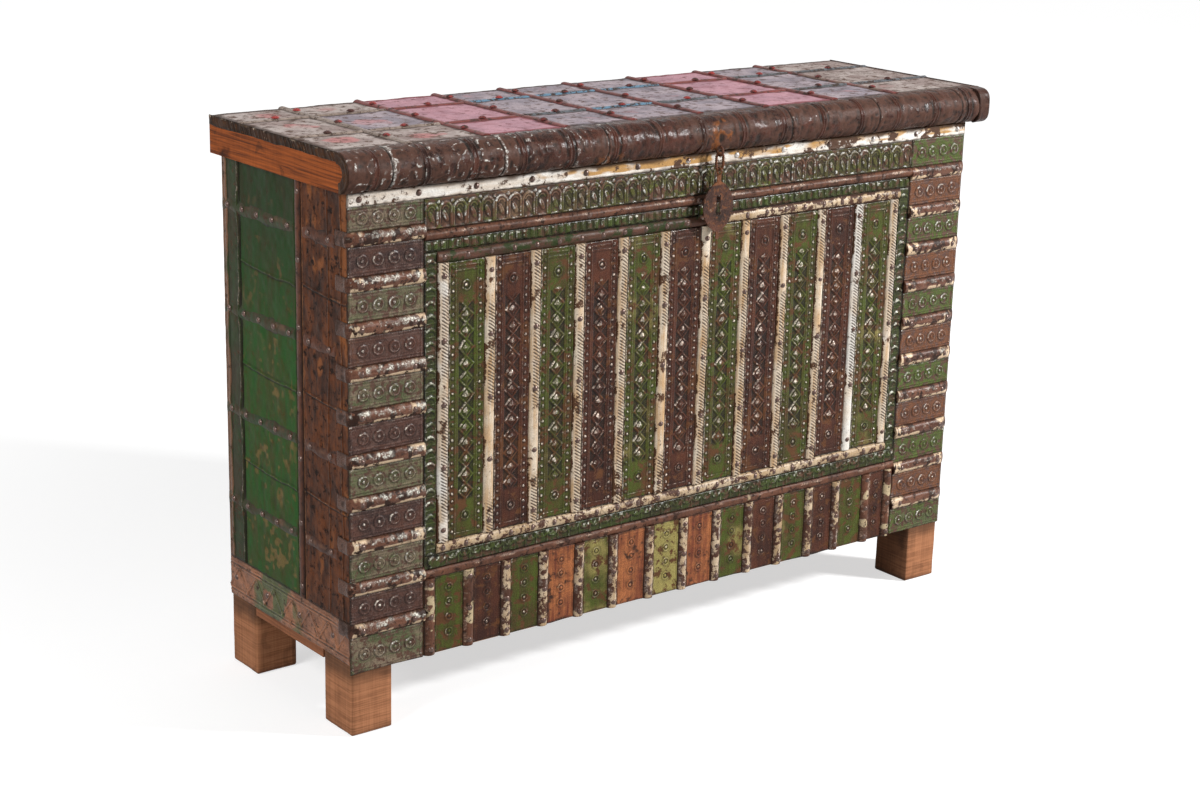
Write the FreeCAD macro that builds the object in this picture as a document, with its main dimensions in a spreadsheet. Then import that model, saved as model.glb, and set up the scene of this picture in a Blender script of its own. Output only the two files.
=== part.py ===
import FreeCAD
import Part
import Sketcher
import math
import os
import re

# A damchiya chest: a timber box on four corner posts, clad in embossed sheet metal, with a hinged lid.
# X runs along the length, to the right seen from the front. The front faces -Y. Z is up from the floor.

SIZES = {
    # The box over its cladding, and its height above the floor
    "body_length": 1400,
    "body_depth": 415,
    "body_bottom": 116,
    "body_top": 937,
    "front_gauge": 3,
    "side_gauge": 2,
    # Corner posts, rails, wall boards and floor
    "post_width": 83,
    "post_depth": 90,
    "rail_height": 80,
    "rail_thickness": 30,
    "tenon_length": 30,
    "tenon_thickness": 12,
    "tenon_inset": 9,
    "tenon_shoulder": 10,
    "tenon_room": 0.2,
    "board_thickness": 20,
    "batten_width": 50,
    "batten_height": 30,
    "batten_rise": 14,
    "batten_inset": 90,
    "floor_thickness": 18,
    # Corner columns of the front
    "left_column": 146,
    "right_column": 143,
    "column_bar": 26,
    "column_bar_rise": 9,
    "column_bar_return": 34,
    "column_pitch": 74.3,
    "left_first_bar": 192,
    "right_first_bar": 179,
    # Bands above the stripes, from the rim down
    "rim_height": 24,
    "rim_rise": 3.5,
    "arch_height": 52,
    "arch_rise": 4,
    "round_bar": 18,
    "round_bar_rise": 8,
    "reed_height": 20,
    "reed_rise": 4,
    "nailed_bar": 20,
    "nailed_bar_rise": 6,
    # Stripes, the strips between them and the narrow borders beside them
    "strip_width": 24,
    "strip_rise": 7,
    "left_border": 25,
    "right_border": 27,
    "border_rise": 4,
    # Bands below the stripes, from the lowest row up
    "lower_height": 140,
    "lower_bar": 23,
    "lower_bar_rise": 8,
    "ledge_height": 16,
    "ledge_rise": 7.5,
    "scallop_height": 25,
    "scallop_rise": 4,
    # Cladding of the two ends
    "end_bar_width": 21,
    "end_bar_front": 146,
    "end_edging": 62,
    "base_height": 89,
    "base_lift": 15,
    "strap_height": 32,
    "strap_gauge": 2.5,
    # Lid
    "lid_gap": 0.5,
    "lid_wood": 63.5,
    "lid_sheet": 2.5,
    "lid_over_left": 16,
    "lid_over_right": 36,
    "lid_over_back": 12,
    "nose_out": 24.25,
    "front_plank_depth": 150,
    "sheath_flange": 14,
    "sheath_tuck": 14.5,
    "roll_band": 12,
    "roll_band_rise": 1.5,
    "roll_band_margin": 54,
    "left_edge_height": 17,
    "cross_strap": 17,
    "long_strap": 14,
    "lid_strap_rise": 3.5,
    "rear_strap_inset": 103.5,
    "long_strap_pitch": 171,
    "lid_batten": 40,
    "lid_batten_height": 22,
    "lid_batten_inset": 195,
    "lid_batten_room": 12,
    # Hinges at the back
    "hinge_inset": 250,
    "leaf_width": 60,
    "leaf_height": 50,
    "leaf_gauge": 2.5,
    "knuckle_radius": 5,
    "knuckle_length": 19,
    "knuckle_play": 0.5,
    "knuckle_gap": 0.3,
    "pin_radius": 2.5,
    "pin_room": 0.05,
    # Hasp
    "hasp_place": 56,
    "hasp_reach": 18.5,
    "staple_drop": 3,
    "staple_radius": 8,
    "staple_shank": 28,
    "shank_radius": 1.6,
    "hasp_wire": 2,
    "hasp_play": 0.3,
    "link_radius": 8,
    "link_straight": 14,
    "eye_radius": 6,
    "hasp_gauge": 3.5,
    "neck_width": 10,
    "neck_length": 11,
    "oval_width": 70,
    "oval_height": 94,
    "tail_width": 8,
    "tail_length": 12,
    "slot_width": 8,
    "slot_height": 30,
    "slot_rise": 5,
    "slot_eye": 5.5,
    # Nails
    "nail_head": 5.5,
    "nail_dome": 3.4,
    "nail_seat": 1.3,
    "lid_nail_head": 7.5,
    "lid_nail_dome": 3.8,
    "lid_nail_seat": 0.5,
    "nail_shank": 1.3,
    "nail_length": 14,
    "nail_margin": 22,
    "rim_nail_pitch": 113,
    "strip_nail_pitch": 112,
    "band_nail_pitch": 47,
    "strap_nail_pitch": 56.5,
    "lower_nail_pitch": 70,
    "lower_nail_margin": 11,
    "leaf_nail_inset": 12,
    # Extra length of a cut, so that it clears the faces that it opens
    "overrun": 5,
}

COLUMN_BARS = 10
STRIPS = 12
WALL_BOARDS = 3
ROLL_BANDS = 15

# Places along the length of what they name, as shares of it
LOWER_BAR_SHARES = (0.011, 0.083, 0.154, 0.227, 0.299, 0.368, 0.444, 0.516,
                    0.588, 0.659, 0.729, 0.799, 0.863, 0.935, 0.989)
CROSS_STRAP_SHARES = (0.099, 0.205, 0.318, 0.418, 0.522, 0.628, 0.745, 0.855)
STRAP_RISE_SHARES = (0.246, 0.451, 0.673, 0.896)
ROUND_BAR_NAIL_SHARES = (0.08, 0.3, 0.52, 0.72, 0.93)

# Places of two or three like pieces, as shares of the distance between the outer ones
PAIR_SHARES = (-0.5, 0.5)
TRIO_SHARES = (-0.5, 0, 0.5)

# Colours of the lowest row's panels and of the lid's sheets, from left to right
LOWER_COLOURS = ("green", "brown", "green", "orange", "green", "orange", "green",
                 "orange", "green", "brown", "green", "brown", "green", "brown")
LID_COLOURS = ("grey", "grey", "red", "grey", "grey", "grey", "red", "grey", "grey")

doc = FreeCAD.newDocument("damchiya_chest")
sheet = doc.addObject("Spreadsheet::Sheet", "Sizes")
for row, (alias, size) in enumerate(SIZES.items(), start=1):
    sheet.set(f"A{row}", alias)
    sheet.set(f"B{row}", str(size))
    sheet.setAlias(f"B{row}", alias)
doc.recompute()

# Faces and lines that several pieces share
MID_X = "((lid_over_left - lid_over_right)/2)"
FRONT_REACH = "(nose_out + lid_sheet + roll_band_rise)"
BACK_REACH = "(lid_over_back + knuckle_gap + 2*knuckle_radius)"
MID_Y = f"(({FRONT_REACH} - {BACK_REACH})/2)"
LEFT = f"({MID_X} - body_length/2)"
RIGHT = f"({MID_X} + body_length/2)"
FRONT = f"({MID_Y} - body_depth/2)"
BACK = f"({MID_Y} + body_depth/2)"
WOOD_LEFT = f"({LEFT} + side_gauge)"
WOOD_RIGHT = f"({RIGHT} - side_gauge)"
WOOD_FRONT = f"({FRONT} + front_gauge)"
POSTS_LEFT = f"({WOOD_LEFT} + post_width)"
POSTS_RIGHT = f"({WOOD_RIGHT} - post_width)"
POSTS_FRONT = f"({WOOD_FRONT} + post_depth)"
POSTS_BACK = f"({BACK} - post_depth)"
RAIL_LOW = "(body_bottom + rail_height)"
RAIL_HIGH = "(body_top - rail_height)"
FIELD_LEFT = f"({LEFT} + left_column)"
FIELD_RIGHT = f"({RIGHT} - right_column)"
RIM_LOW = "(body_top - rim_height)"
ARCH_LOW = f"({RIM_LOW} - arch_height)"
ROUND_LOW = f"({ARCH_LOW} - round_bar)"
REED_LOW = f"({ROUND_LOW} - reed_height)"
STRIPES_HIGH = f"({REED_LOW} - nailed_bar)"
LOWER_HIGH = "(body_bottom + lower_height)"
LEDGE_HIGH = f"({LOWER_HIGH} + ledge_height)"
SCALLOP_HIGH = f"({LEDGE_HIGH} + scallop_height)"
STRIPES_LOW = f"({SCALLOP_HIGH} + nailed_bar)"
STRIPES_LEFT = f"({FIELD_LEFT} + left_border)"
STRIPES_RIGHT = f"({FIELD_RIGHT} - right_border)"
BASE_HIGH = "(body_bottom + base_height)"
END_BAR_FRONT = f"({FRONT} + end_bar_front)"
END_BAR_BACK = f"({END_BAR_FRONT} + end_bar_width)"
END_EDGE = f"({BACK} - end_edging)"
LID_LOW = "(body_top + lid_gap)"
LID_WOOD_HIGH = f"({LID_LOW} + lid_wood)"
LID_SHEET_HIGH = f"({LID_WOOD_HIGH} + lid_sheet)"
LID_LEFT = f"({LEFT} - lid_over_left)"
LID_RIGHT = f"({RIGHT} + lid_over_right)"
LID_WOOD_LEFT = f"({LID_LEFT} + lid_sheet)"
LID_WOOD_RIGHT = f"({LID_RIGHT} - lid_sheet)"
LID_BACK = f"({BACK} + lid_over_back)"
NOSE_RADIUS = "(lid_wood/2)"
NOSE_Y = f"({FRONT} - nose_out + {NOSE_RADIUS})"
NOSE_Z = f"({LID_LOW} + {NOSE_RADIUS})"
SHEATH_BACK = f"({NOSE_Y} + sheath_flange)"
HINGE_Y = f"({LID_BACK} + knuckle_gap + knuckle_radius)"
HINGE_Z = "(body_top + lid_gap/2)"
HASP_X = f"({MID_X} + hasp_place)"
HASP_Y = f"({FRONT} - hasp_reach)"
STAPLE_Z = "(body_top + staple_drop)"
HINGE_SPREAD = "(body_length - 2*hinge_inset)"
REAR_STRAP_Y = f"({LID_BACK} - rear_strap_inset)"
MIDDLE_STRAP_Y = f"({REAR_STRAP_Y} - long_strap_pitch)"
LINK_PIVOT_Z = f"({STAPLE_Z} - staple_radius + 2*hasp_wire + hasp_play)"
PLATE_PIVOT_Z = f"({LINK_PIVOT_Z} - 2*link_radius - link_straight)"
EYE_Z = f"({PLATE_PIVOT_Z} + 2*hasp_wire + hasp_play - eye_radius)"
OVAL_Z = f"({EYE_Z} - eye_radius - neck_length - oval_height/2)"

ALONG_X = FreeCAD.Rotation(FreeCAD.Vector(0, 0, 1), FreeCAD.Vector(0, -1, 0), FreeCAD.Vector(1, 0, 0), "XYZ")
ALONG_Y = FreeCAD.Rotation(FreeCAD.Vector(1, 0, 0), -90)
UPRIGHT = FreeCAD.Rotation()

subparts = []


def sized(text):
    """Point every size name in an expression at its cell."""
    return re.sub(r"[a-z]\w*", lambda found: "Sizes." * (found.group(0) in SIZES) + found.group(0), text)


def number(text):
    """Value of an expression, for the shapes that read their sizes directly."""
    return float(reader.evalExpression(sized(text)))


def placed(item, x, y, z, turn=UPRIGHT):
    """Put an object at a point worked out from the sizes."""
    item.Placement = FreeCAD.Placement(FreeCAD.Vector(), turn)
    item.setExpression("Placement.Base.x", sized(x))
    item.setExpression("Placement.Base.y", sized(y))
    item.setExpression("Placement.Base.z", sized(z))
    return item


def block(name, low, high):
    """Box between two corners."""
    item = doc.addObject("Part::Box", name)
    for side, start, end in zip(("Length", "Width", "Height"), low, high):
        item.setExpression(side, sized(f"({end}) - ({start})"))
    return placed(item, *low)


def rod(name, radius, length, at, turn):
    """Cylinder that starts at a point and runs along the turned axis."""
    item = doc.addObject("Part::Cylinder", name)
    item.setExpression("Radius", sized(radius))
    item.setExpression("Height", sized(length))
    return placed(item, *at, turn)


def ring(name, radius, wire, at, turn):
    """Torus about the turned axis."""
    item = doc.addObject("Part::Torus", name)
    item.setExpression("Radius1", sized(radius))
    item.setExpression("Radius2", sized(wire))
    return placed(item, *at, turn)


def fused(name, *members):
    item = doc.addObject("Part::MultiFuse", name)
    item.Shapes = list(members)
    return item


def cut(name, base, tool):
    item = doc.addObject("Part::Cut", name)
    item.Base = base
    item.Tool = tool
    return item


def node(label, *members):
    """One named piece, or one named group of separate pieces of the same kind."""
    if len(members) == 1:
        item = members[0]
    else:
        item = doc.addObject("Part::Compound", label)
        item.Links = list(members)
    item.Label = label
    subparts.append(item)
    return item


def origin_feature(body, role):
    return next(item for item in body.Origin.OriginFeatures if item.Role == role)


def new_body(name, at):
    body = doc.addObject("PartDesign::Body", name)
    body.AllowCompound = True
    return placed(body, *at)


def new_sketch(body, name, role):
    sketch = body.newObject("Sketcher::SketchObject", name)
    sketch.AttachmentSupport = (origin_feature(body, role), [""])
    sketch.MapMode = "FlatFace"
    return sketch


def bound(sketch, constraint, name, text):
    """Add a dimension to a sketch and tie it to the sizes."""
    index = sketch.addConstraint(constraint)
    sketch.renameConstraint(index, name)
    sketch.setExpression("Constraints." + name, sized(text))


def round_profile(body, name, width, rise, upright):
    """Segment of a circle on a chord, which bulges towards the front."""
    sketch = new_sketch(body, name, "XY_Plane" if upright else "YZ_Plane")
    half = number(width) / 2
    radius_text = f"(({width})^2/4 + ({rise})^2)/(2*({rise}))"
    radius = number(radius_text)
    inset = radius - number(rise)
    spread = math.atan2(half, inset)
    if upright:
        first, last = FreeCAD.Vector(-half, 0, 0), FreeCAD.Vector(half, 0, 0)
        middle, heading = FreeCAD.Vector(0, inset, 0), 3 * math.pi / 2
    else:
        first, last = FreeCAD.Vector(0, half, 0), FreeCAD.Vector(0, -half, 0)
        middle, heading = FreeCAD.Vector(inset, 0, 0), math.pi
    chord_axis, mirror_axis = (-1, -2) if upright else (-2, -1)
    circle = Part.Circle(middle, FreeCAD.Vector(0, 0, 1), radius)
    sketch.addGeometry(Part.LineSegment(first, last))
    sketch.addGeometry(Part.ArcOfCircle(circle, heading - spread, heading + spread))
    sketch.addConstraint(Sketcher.Constraint("Coincident", 0, 1, 1, 1))
    sketch.addConstraint(Sketcher.Constraint("Coincident", 0, 2, 1, 2))
    sketch.addConstraint(Sketcher.Constraint("PointOnObject", 0, 1, chord_axis))
    sketch.addConstraint(Sketcher.Constraint("Symmetric", 0, 1, 0, 2, mirror_axis))
    bound(sketch, Sketcher.Constraint("Distance", 0, 2 * half), "chord", width)
    bound(sketch, Sketcher.Constraint("Radius", 1, radius), "bulge", radius_text)
    return sketch


def padded(body, sketch, length):
    pad = body.newObject("PartDesign::Pad", body.Name + "_pad")
    pad.Profile = sketch
    pad.setExpression("Length", sized(length))
    return pad


def repeated(body, feature, role, span, count):
    """Row of equal copies over a span."""
    pattern = body.newObject("PartDesign::LinearPattern", body.Name + "_row")
    pattern.Originals = [feature]
    pattern.Direction = (origin_feature(body, role), [""])
    pattern.setExpression("Length", sized(span))
    pattern.Occurrences = count
    body.Tip = pattern
    return pattern


def level_bar(name, start, end, middle_z, width, rise):
    """Half-round bar that lies level on the front."""
    body = new_body(name, (start, WOOD_FRONT, middle_z))
    padded(body, round_profile(body, name + "_profile", width, rise, False), f"({end}) - ({start})")
    return body


def upright_bar(name, middle_x, low, high, width, rise):
    """Half-round bar that stands upright on the front."""
    body = new_body(name, (middle_x, WOOD_FRONT, low))
    padded(body, round_profile(body, name + "_profile", width, rise, True), f"({high}) - ({low})")
    return body


def front_slab(name, left, right, low, high, rise):
    """Flat piece of cladding on the front."""
    return block(name, (left, f"{WOOD_FRONT} - ({rise})", low), (right, WOOD_FRONT, high))


def end_slab(name, side, front, back, low, high, near, far):
    """Flat piece of cladding on the left or right end, between two distances from the wood."""
    if side == "left":
        inner, outer = f"{WOOD_LEFT} - ({far})", f"{WOOD_LEFT} - ({near})"
    else:
        inner, outer = f"{WOOD_RIGHT} + ({near})", f"{WOOD_RIGHT} + ({far})"
    return block(name, (inner, front, low), (outer, back, high))


# Timber box

def mortises(name, wall_x, wall_y, long_face, short_face):
    """Sockets of one post for its long and short rails, at the top and at the bottom."""
    sockets = []
    for level, low in (("low", "body_bottom"), ("high", RAIL_HIGH)):
        bottom = f"{low} + tenon_shoulder - tenon_room"
        top = f"{low} + rail_height - tenon_shoulder + tenon_room"
        sockets.append(block(f"{name}_{level}_long", (long_face[0], wall_y[0], bottom),
                             (long_face[1], wall_y[1], top)))
        sockets.append(block(f"{name}_{level}_short", (wall_x[0], short_face[0], bottom),
                             (wall_x[1], short_face[1], top)))
    return fused(name + "_sockets", *sockets)


def corner_post(side, face):
    """Sawn post, whose lower end is the foot."""
    name = f"corner_post_{face}_{side}"
    depth = "tenon_length + tenon_room"
    near, far = "tenon_inset - tenon_room", "tenon_inset + tenon_thickness + tenon_room"
    if side == "left":
        x_low, x_high = WOOD_LEFT, POSTS_LEFT
        wall_x = (f"{WOOD_LEFT} + {near}", f"{WOOD_LEFT} + {far}")
        long_face = (f"{POSTS_LEFT} - ({depth})", f"{POSTS_LEFT} + overrun")
    else:
        x_low, x_high = POSTS_RIGHT, WOOD_RIGHT
        wall_x = (f"{WOOD_RIGHT} - ({far})", f"{WOOD_RIGHT} - ({near})")
        long_face = (f"{POSTS_RIGHT} - overrun", f"{POSTS_RIGHT} + {depth}")
    if face == "front":
        y_low, y_high = WOOD_FRONT, POSTS_FRONT
        wall_y = (f"{WOOD_FRONT} + {near}", f"{WOOD_FRONT} + {far}")
        short_face = (f"{POSTS_FRONT} - ({depth})", f"{POSTS_FRONT} + overrun")
    else:
        y_low, y_high = POSTS_BACK, BACK
        wall_y = (f"{BACK} - ({far})", f"{BACK} - ({near})")
        short_face = (f"{POSTS_BACK} - overrun", f"{POSTS_BACK} + {depth}")
    stock = block(name + "_stock", (x_low, y_low, "0"), (x_high, y_high, "body_top"))
    node(name, cut(name, stock, mortises(name, wall_x, wall_y, long_face, short_face)))


def long_rail(name, low, inner, outer, tenon):
    """Rail of the front or back, with a tenon at each end."""
    body = block(name + "_rail", (POSTS_LEFT, inner, low), (POSTS_RIGHT, outer, f"{low} + rail_height"))
    tongue = block(name + "_tongue",
                   (f"{POSTS_LEFT} - tenon_length", tenon[0], f"{low} + tenon_shoulder"),
                   (f"{POSTS_RIGHT} + tenon_length", tenon[1], f"{low} + rail_height - tenon_shoulder"))
    return fused(name, body, tongue)


def short_rail(name, low, inner, outer, tenon):
    """Rail of the left or right end, with a tenon at each end."""
    body = block(name + "_rail", (inner, POSTS_FRONT, low), (outer, POSTS_BACK, f"{low} + rail_height"))
    tongue = block(name + "_tongue",
                   (tenon[0], f"{POSTS_FRONT} - tenon_length", f"{low} + tenon_shoulder"),
                   (tenon[1], f"{POSTS_BACK} + tenon_length", f"{low} + rail_height - tenon_shoulder"))
    return fused(name, body, tongue)


def rails():
    front = (WOOD_FRONT, f"{WOOD_FRONT} + rail_thickness")
    front_tenon = (f"{WOOD_FRONT} + tenon_inset", f"{WOOD_FRONT} + tenon_inset + tenon_thickness")
    node("front_rails",
         long_rail("front_low", "body_bottom", *front, front_tenon),
         long_rail("front_high", RAIL_HIGH, *front, front_tenon))
    back_tenon = (f"{BACK} - tenon_inset - tenon_thickness", f"{BACK} - tenon_inset")
    node("back_rails",
         long_rail("back_low", "body_bottom", f"{BACK} - rail_thickness", BACK, back_tenon),
         long_rail("back_high", RAIL_HIGH, f"{BACK} - rail_thickness", LID_BACK, back_tenon))
    left = (WOOD_LEFT, f"{WOOD_LEFT} + rail_thickness")
    left_tenon = (f"{WOOD_LEFT} + tenon_inset", f"{WOOD_LEFT} + tenon_inset + tenon_thickness")
    node("left_rails",
         short_rail("left_low", "body_bottom", *left, left_tenon),
         short_rail("left_high", RAIL_HIGH, *left, left_tenon))
    right = (f"{WOOD_RIGHT} - rail_thickness", WOOD_RIGHT)
    right_tenon = (f"{WOOD_RIGHT} - tenon_inset - tenon_thickness", f"{WOOD_RIGHT} - tenon_inset")
    node("right_rails",
         short_rail("right_low", "body_bottom", *right, right_tenon),
         short_rail("right_high", RAIL_HIGH, *right, right_tenon))


def wall_boards(label, low_corner, high_corner):
    """Level boards that fill one wall between its rails."""
    step = f"({RAIL_HIGH} - {RAIL_LOW})/{WALL_BOARDS}"
    boards = []
    for number_up in range(WALL_BOARDS):
        low = f"{RAIL_LOW} + {number_up}*{step}"
        high = f"{RAIL_LOW} + {number_up + 1}*{step}"
        boards.append(block(f"{label}_{number_up + 1}", (*low_corner, low), (*high_corner, high)))
    node(label, *boards)


def walls():
    wall_boards("front_planks", (POSTS_LEFT, WOOD_FRONT), (POSTS_RIGHT, f"{WOOD_FRONT} + board_thickness"))
    wall_boards("back_planks", (POSTS_LEFT, f"{BACK} - board_thickness"), (POSTS_RIGHT, BACK))
    wall_boards("left_planks", (WOOD_LEFT, POSTS_FRONT), (f"{WOOD_LEFT} + board_thickness", POSTS_BACK))
    wall_boards("right_planks", (f"{WOOD_RIGHT} - board_thickness", POSTS_FRONT), (WOOD_RIGHT, POSTS_BACK))


def floor():
    """Cross battens between the long rails, and the boards that lie on them."""
    rail_front = f"{WOOD_FRONT} + rail_thickness"
    rail_back = f"{BACK} - rail_thickness"
    low = "body_bottom + batten_rise"
    high = f"{low} + batten_height"
    battens = []
    spread = f"({POSTS_RIGHT} - {POSTS_LEFT} - batten_width - 2*batten_inset)"
    for place, share in enumerate(TRIO_SHARES):
        middle = f"{MID_X} + ({share})*{spread}"
        battens.append(block(f"floor_batten_{place + 1}", (f"{middle} - batten_width/2", rail_front, low),
                             (f"{middle} + batten_width/2", rail_back, high)))
    node("floor_battens", *battens)
    top = f"{high} + floor_thickness"
    inner_left, inner_right = f"{WOOD_LEFT} + rail_thickness", f"{WOOD_RIGHT} - rail_thickness"
    spans = ((POSTS_LEFT, POSTS_RIGHT, rail_front, POSTS_FRONT),
             (inner_left, inner_right, POSTS_FRONT, MID_Y),
             (inner_left, inner_right, MID_Y, POSTS_BACK),
             (POSTS_LEFT, POSTS_RIGHT, POSTS_BACK, rail_back))
    boards = []
    for place, (left, right, front, back) in enumerate(spans):
        boards.append(block(f"floor_plank_{place + 1}", (left, front, high), (right, back, top)))
    node("floor_planks", *boards)


# Cladding of the front

def column_bars():
    """Half-round bars of both corner columns, each wrapped round its corner."""
    columns = []
    for side, first, inner, outer in (("left", "left_first_bar", FIELD_LEFT, LEFT),
                                      ("right", "right_first_bar", FIELD_RIGHT, RIGHT)):
        body = new_body(f"column_bars_{side}", (inner, WOOD_FRONT, first))
        profile = round_profile(body, f"column_bar_profile_{side}", "column_bar", "column_bar_rise", False)
        path = new_sketch(body, f"column_bar_path_{side}", "XY_Plane")
        reach = number(f"{outer} - {inner}")
        turn = number("column_bar_return")
        corner = FreeCAD.Vector(reach, 0, 0)
        path.addGeometry(Part.LineSegment(FreeCAD.Vector(0, 0, 0), corner))
        path.addGeometry(Part.LineSegment(corner, FreeCAD.Vector(reach, turn, 0)))
        path.addConstraint(Sketcher.Constraint("Coincident", 0, 1, -1, 1))
        path.addConstraint(Sketcher.Constraint("Coincident", 0, 2, 1, 1))
        path.addConstraint(Sketcher.Constraint("Horizontal", 0))
        path.addConstraint(Sketcher.Constraint("Vertical", 1))
        run = f"{inner} - {outer}" if side == "left" else f"{outer} - {inner}"
        bound(path, Sketcher.Constraint("Distance", 0, abs(reach)), "run", run)
        bound(path, Sketcher.Constraint("Distance", 1, turn), "turn", "column_bar_return")
        pipe = body.newObject("PartDesign::AdditivePipe", f"column_bar_pipe_{side}")
        pipe.Profile = profile
        pipe.Spine = (path, ["Edge1", "Edge2"])
        pipe.Transition = "Right corner"
        repeated(body, pipe, "Z_Axis", f"column_pitch*{COLUMN_BARS - 1}", COLUMN_BARS)
        columns.append(body)
    node("column_bars", *columns)


def column_panels():
    """Embossed panels between the bars of both columns, green and brown in turn from the top."""
    colours = {"green": [], "brown": []}
    for side, first, left, right in (("left", "left_first_bar", LEFT, FIELD_LEFT),
                                     ("right", "right_first_bar", FIELD_RIGHT, RIGHT)):
        for place in range(COLUMN_BARS + 1):
            low = f"{first} + ({place - 1})*column_pitch + column_bar/2"
            high = f"{first} + {place}*column_pitch - column_bar/2"
            if place == 0:
                low = "body_bottom"
            if place == COLUMN_BARS:
                high = RIM_LOW
            colour = "green" if (COLUMN_BARS - place) % 2 == 0 else "brown"
            panel = front_slab(f"column_{side}_{place}", left, right, low, high, "front_gauge")
            colours[colour].append(panel)
    node("column_green_panels", *colours["green"])
    node("column_brown_panels", *colours["brown"])


def upper_bands():
    """Bands from the rim down to the stripes."""
    node("rim_band", front_slab("rim_band", LEFT, RIGHT, RIM_LOW, "body_top", "rim_rise"))
    node("arch_band", front_slab("arch_band", FIELD_LEFT, FIELD_RIGHT, ARCH_LOW, RIM_LOW, "arch_rise"))
    node("upper_round_bar", level_bar("upper_round_bar", FIELD_LEFT, FIELD_RIGHT,
                                      f"{ROUND_LOW} + round_bar/2", "round_bar", "round_bar_rise"))
    node("reed_band", front_slab("reed_band", FIELD_LEFT, FIELD_RIGHT, REED_LOW, ROUND_LOW, "reed_rise"))
    node("upper_nailed_bar", level_bar("upper_nailed_bar", STRIPES_LEFT, STRIPES_RIGHT,
                                       f"{STRIPES_HIGH} + nailed_bar/2", "nailed_bar", "nailed_bar_rise"))


def stripes():
    """Half-round strips, the embossed stripes between them and the narrow borders beside them."""
    pitch = f"(({STRIPES_RIGHT} - {STRIPES_LEFT} - strip_width)/{STRIPS - 1})"
    body = new_body("cream_strips", (f"{STRIPES_LEFT} + strip_width/2", WOOD_FRONT, STRIPES_LOW))
    profile = round_profile(body, "strip_profile", "strip_width", "strip_rise", True)
    pad = padded(body, profile, f"{STRIPES_HIGH} - {STRIPES_LOW}")
    repeated(body, pad, "X_Axis", f"{pitch}*{STRIPS - 1}", STRIPS)
    node("cream_strips", body)
    colours = {"green": [], "brown": []}
    for place in range(STRIPS - 1):
        left = f"{STRIPES_LEFT} + strip_width + {place}*{pitch}"
        right = f"{STRIPES_LEFT} + {place + 1}*{pitch}"
        stripe = front_slab(f"stripe_{place + 1}", left, right, STRIPES_LOW, STRIPES_HIGH, "front_gauge")
        colours["brown" if place % 2 else "green"].append(stripe)
    node("green_stripes", *colours["green"])
    node("brown_stripes", *colours["brown"])
    node("stripe_borders",
         front_slab("left_border_strip", FIELD_LEFT, STRIPES_LEFT, SCALLOP_HIGH, REED_LOW, "border_rise"),
         front_slab("right_border_strip", STRIPES_RIGHT, FIELD_RIGHT, SCALLOP_HIGH, REED_LOW, "border_rise"))


def lower_bands():
    """Bar, embossed band and ledge between the stripes and the lowest row."""
    node("lower_nailed_bar", level_bar("lower_nailed_bar", STRIPES_LEFT, STRIPES_RIGHT,
                                       f"{SCALLOP_HIGH} + nailed_bar/2", "nailed_bar", "nailed_bar_rise"))
    node("scallop_band", front_slab("scallop_band", FIELD_LEFT, FIELD_RIGHT,
                                    LEDGE_HIGH, SCALLOP_HIGH, "scallop_rise"))
    node("ledge_moulding", level_bar("ledge_moulding", FIELD_LEFT, FIELD_RIGHT,
                                     f"{LOWER_HIGH} + ledge_height/2", "ledge_height", "ledge_rise"))


def lower_row():
    """Upright half-round bars of the lowest row and the panels between them."""
    middles = [f"{FIELD_LEFT} + {share}*({FIELD_RIGHT} - {FIELD_LEFT})" for share in LOWER_BAR_SHARES]
    bars = []
    for place, middle in enumerate(middles):
        bars.append(upright_bar(f"lower_bar_{place + 1}", middle, "body_bottom", LOWER_HIGH,
                                "lower_bar", "lower_bar_rise"))
    node("lower_bars", *bars)
    colours = {"green": [], "brown": [], "orange": []}
    for place, (left, right) in enumerate(zip(middles, middles[1:])):
        panel = front_slab(f"lower_panel_{place + 1}", f"{left} + lower_bar/2", f"{right} - lower_bar/2",
                           "body_bottom", LOWER_HIGH, "front_gauge")
        colours[LOWER_COLOURS[place]].append(panel)
    for colour, panels in colours.items():
        node(f"lower_{colour}_panels", *panels)


# Cladding of the ends

def ends():
    """Sheets, straps and bars of the left and right ends."""
    sheets, corners, edgings, bases, bars, straps = [], [], [], [], [], []
    for side in ("left", "right"):
        skin = ("0", "side_gauge")
        over = ("side_gauge", "2*side_gauge")
        strap = ("side_gauge", "side_gauge + strap_gauge")
        sheets.append(end_slab(f"sheet_{side}", side, END_BAR_BACK, END_EDGE, BASE_HIGH, "body_top", *skin))
        corners.append(end_slab(f"corner_{side}", side, WOOD_FRONT, END_BAR_BACK,
                                BASE_HIGH, "body_top", *skin))
        edgings.append(end_slab(f"edging_{side}", side, END_EDGE, BACK, BASE_HIGH, "body_top", *skin))
        bases.append(end_slab(f"base_{side}", side, WOOD_FRONT, BACK,
                              "body_bottom + base_lift", BASE_HIGH, *skin))
        bars.append(end_slab(f"end_bar_{side}", side, END_BAR_FRONT, END_BAR_BACK,
                             BASE_HIGH, "body_top", *over))
        strap_front = f"{WOOD_FRONT} + column_bar_return"
        for place, share in enumerate(STRAP_RISE_SHARES):
            low = f"body_bottom + {share}*(body_top - body_bottom) - strap_height/2"
            high = f"{low} + strap_height"
            straps.append(end_slab(f"strap_{side}_{place}_front", side, strap_front, END_BAR_FRONT,
                                   low, high, *strap))
            straps.append(end_slab(f"strap_{side}_{place}_back", side, END_BAR_BACK, BACK,
                                   low, high, *strap))
    node("side_green_sheets", *sheets)
    node("side_corner_sheets", *corners)
    node("side_back_edgings", *edgings)
    node("side_base_sheets", *bases)
    node("side_flat_bars", *bars)
    node("side_straps", *straps)


# Lid

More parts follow.
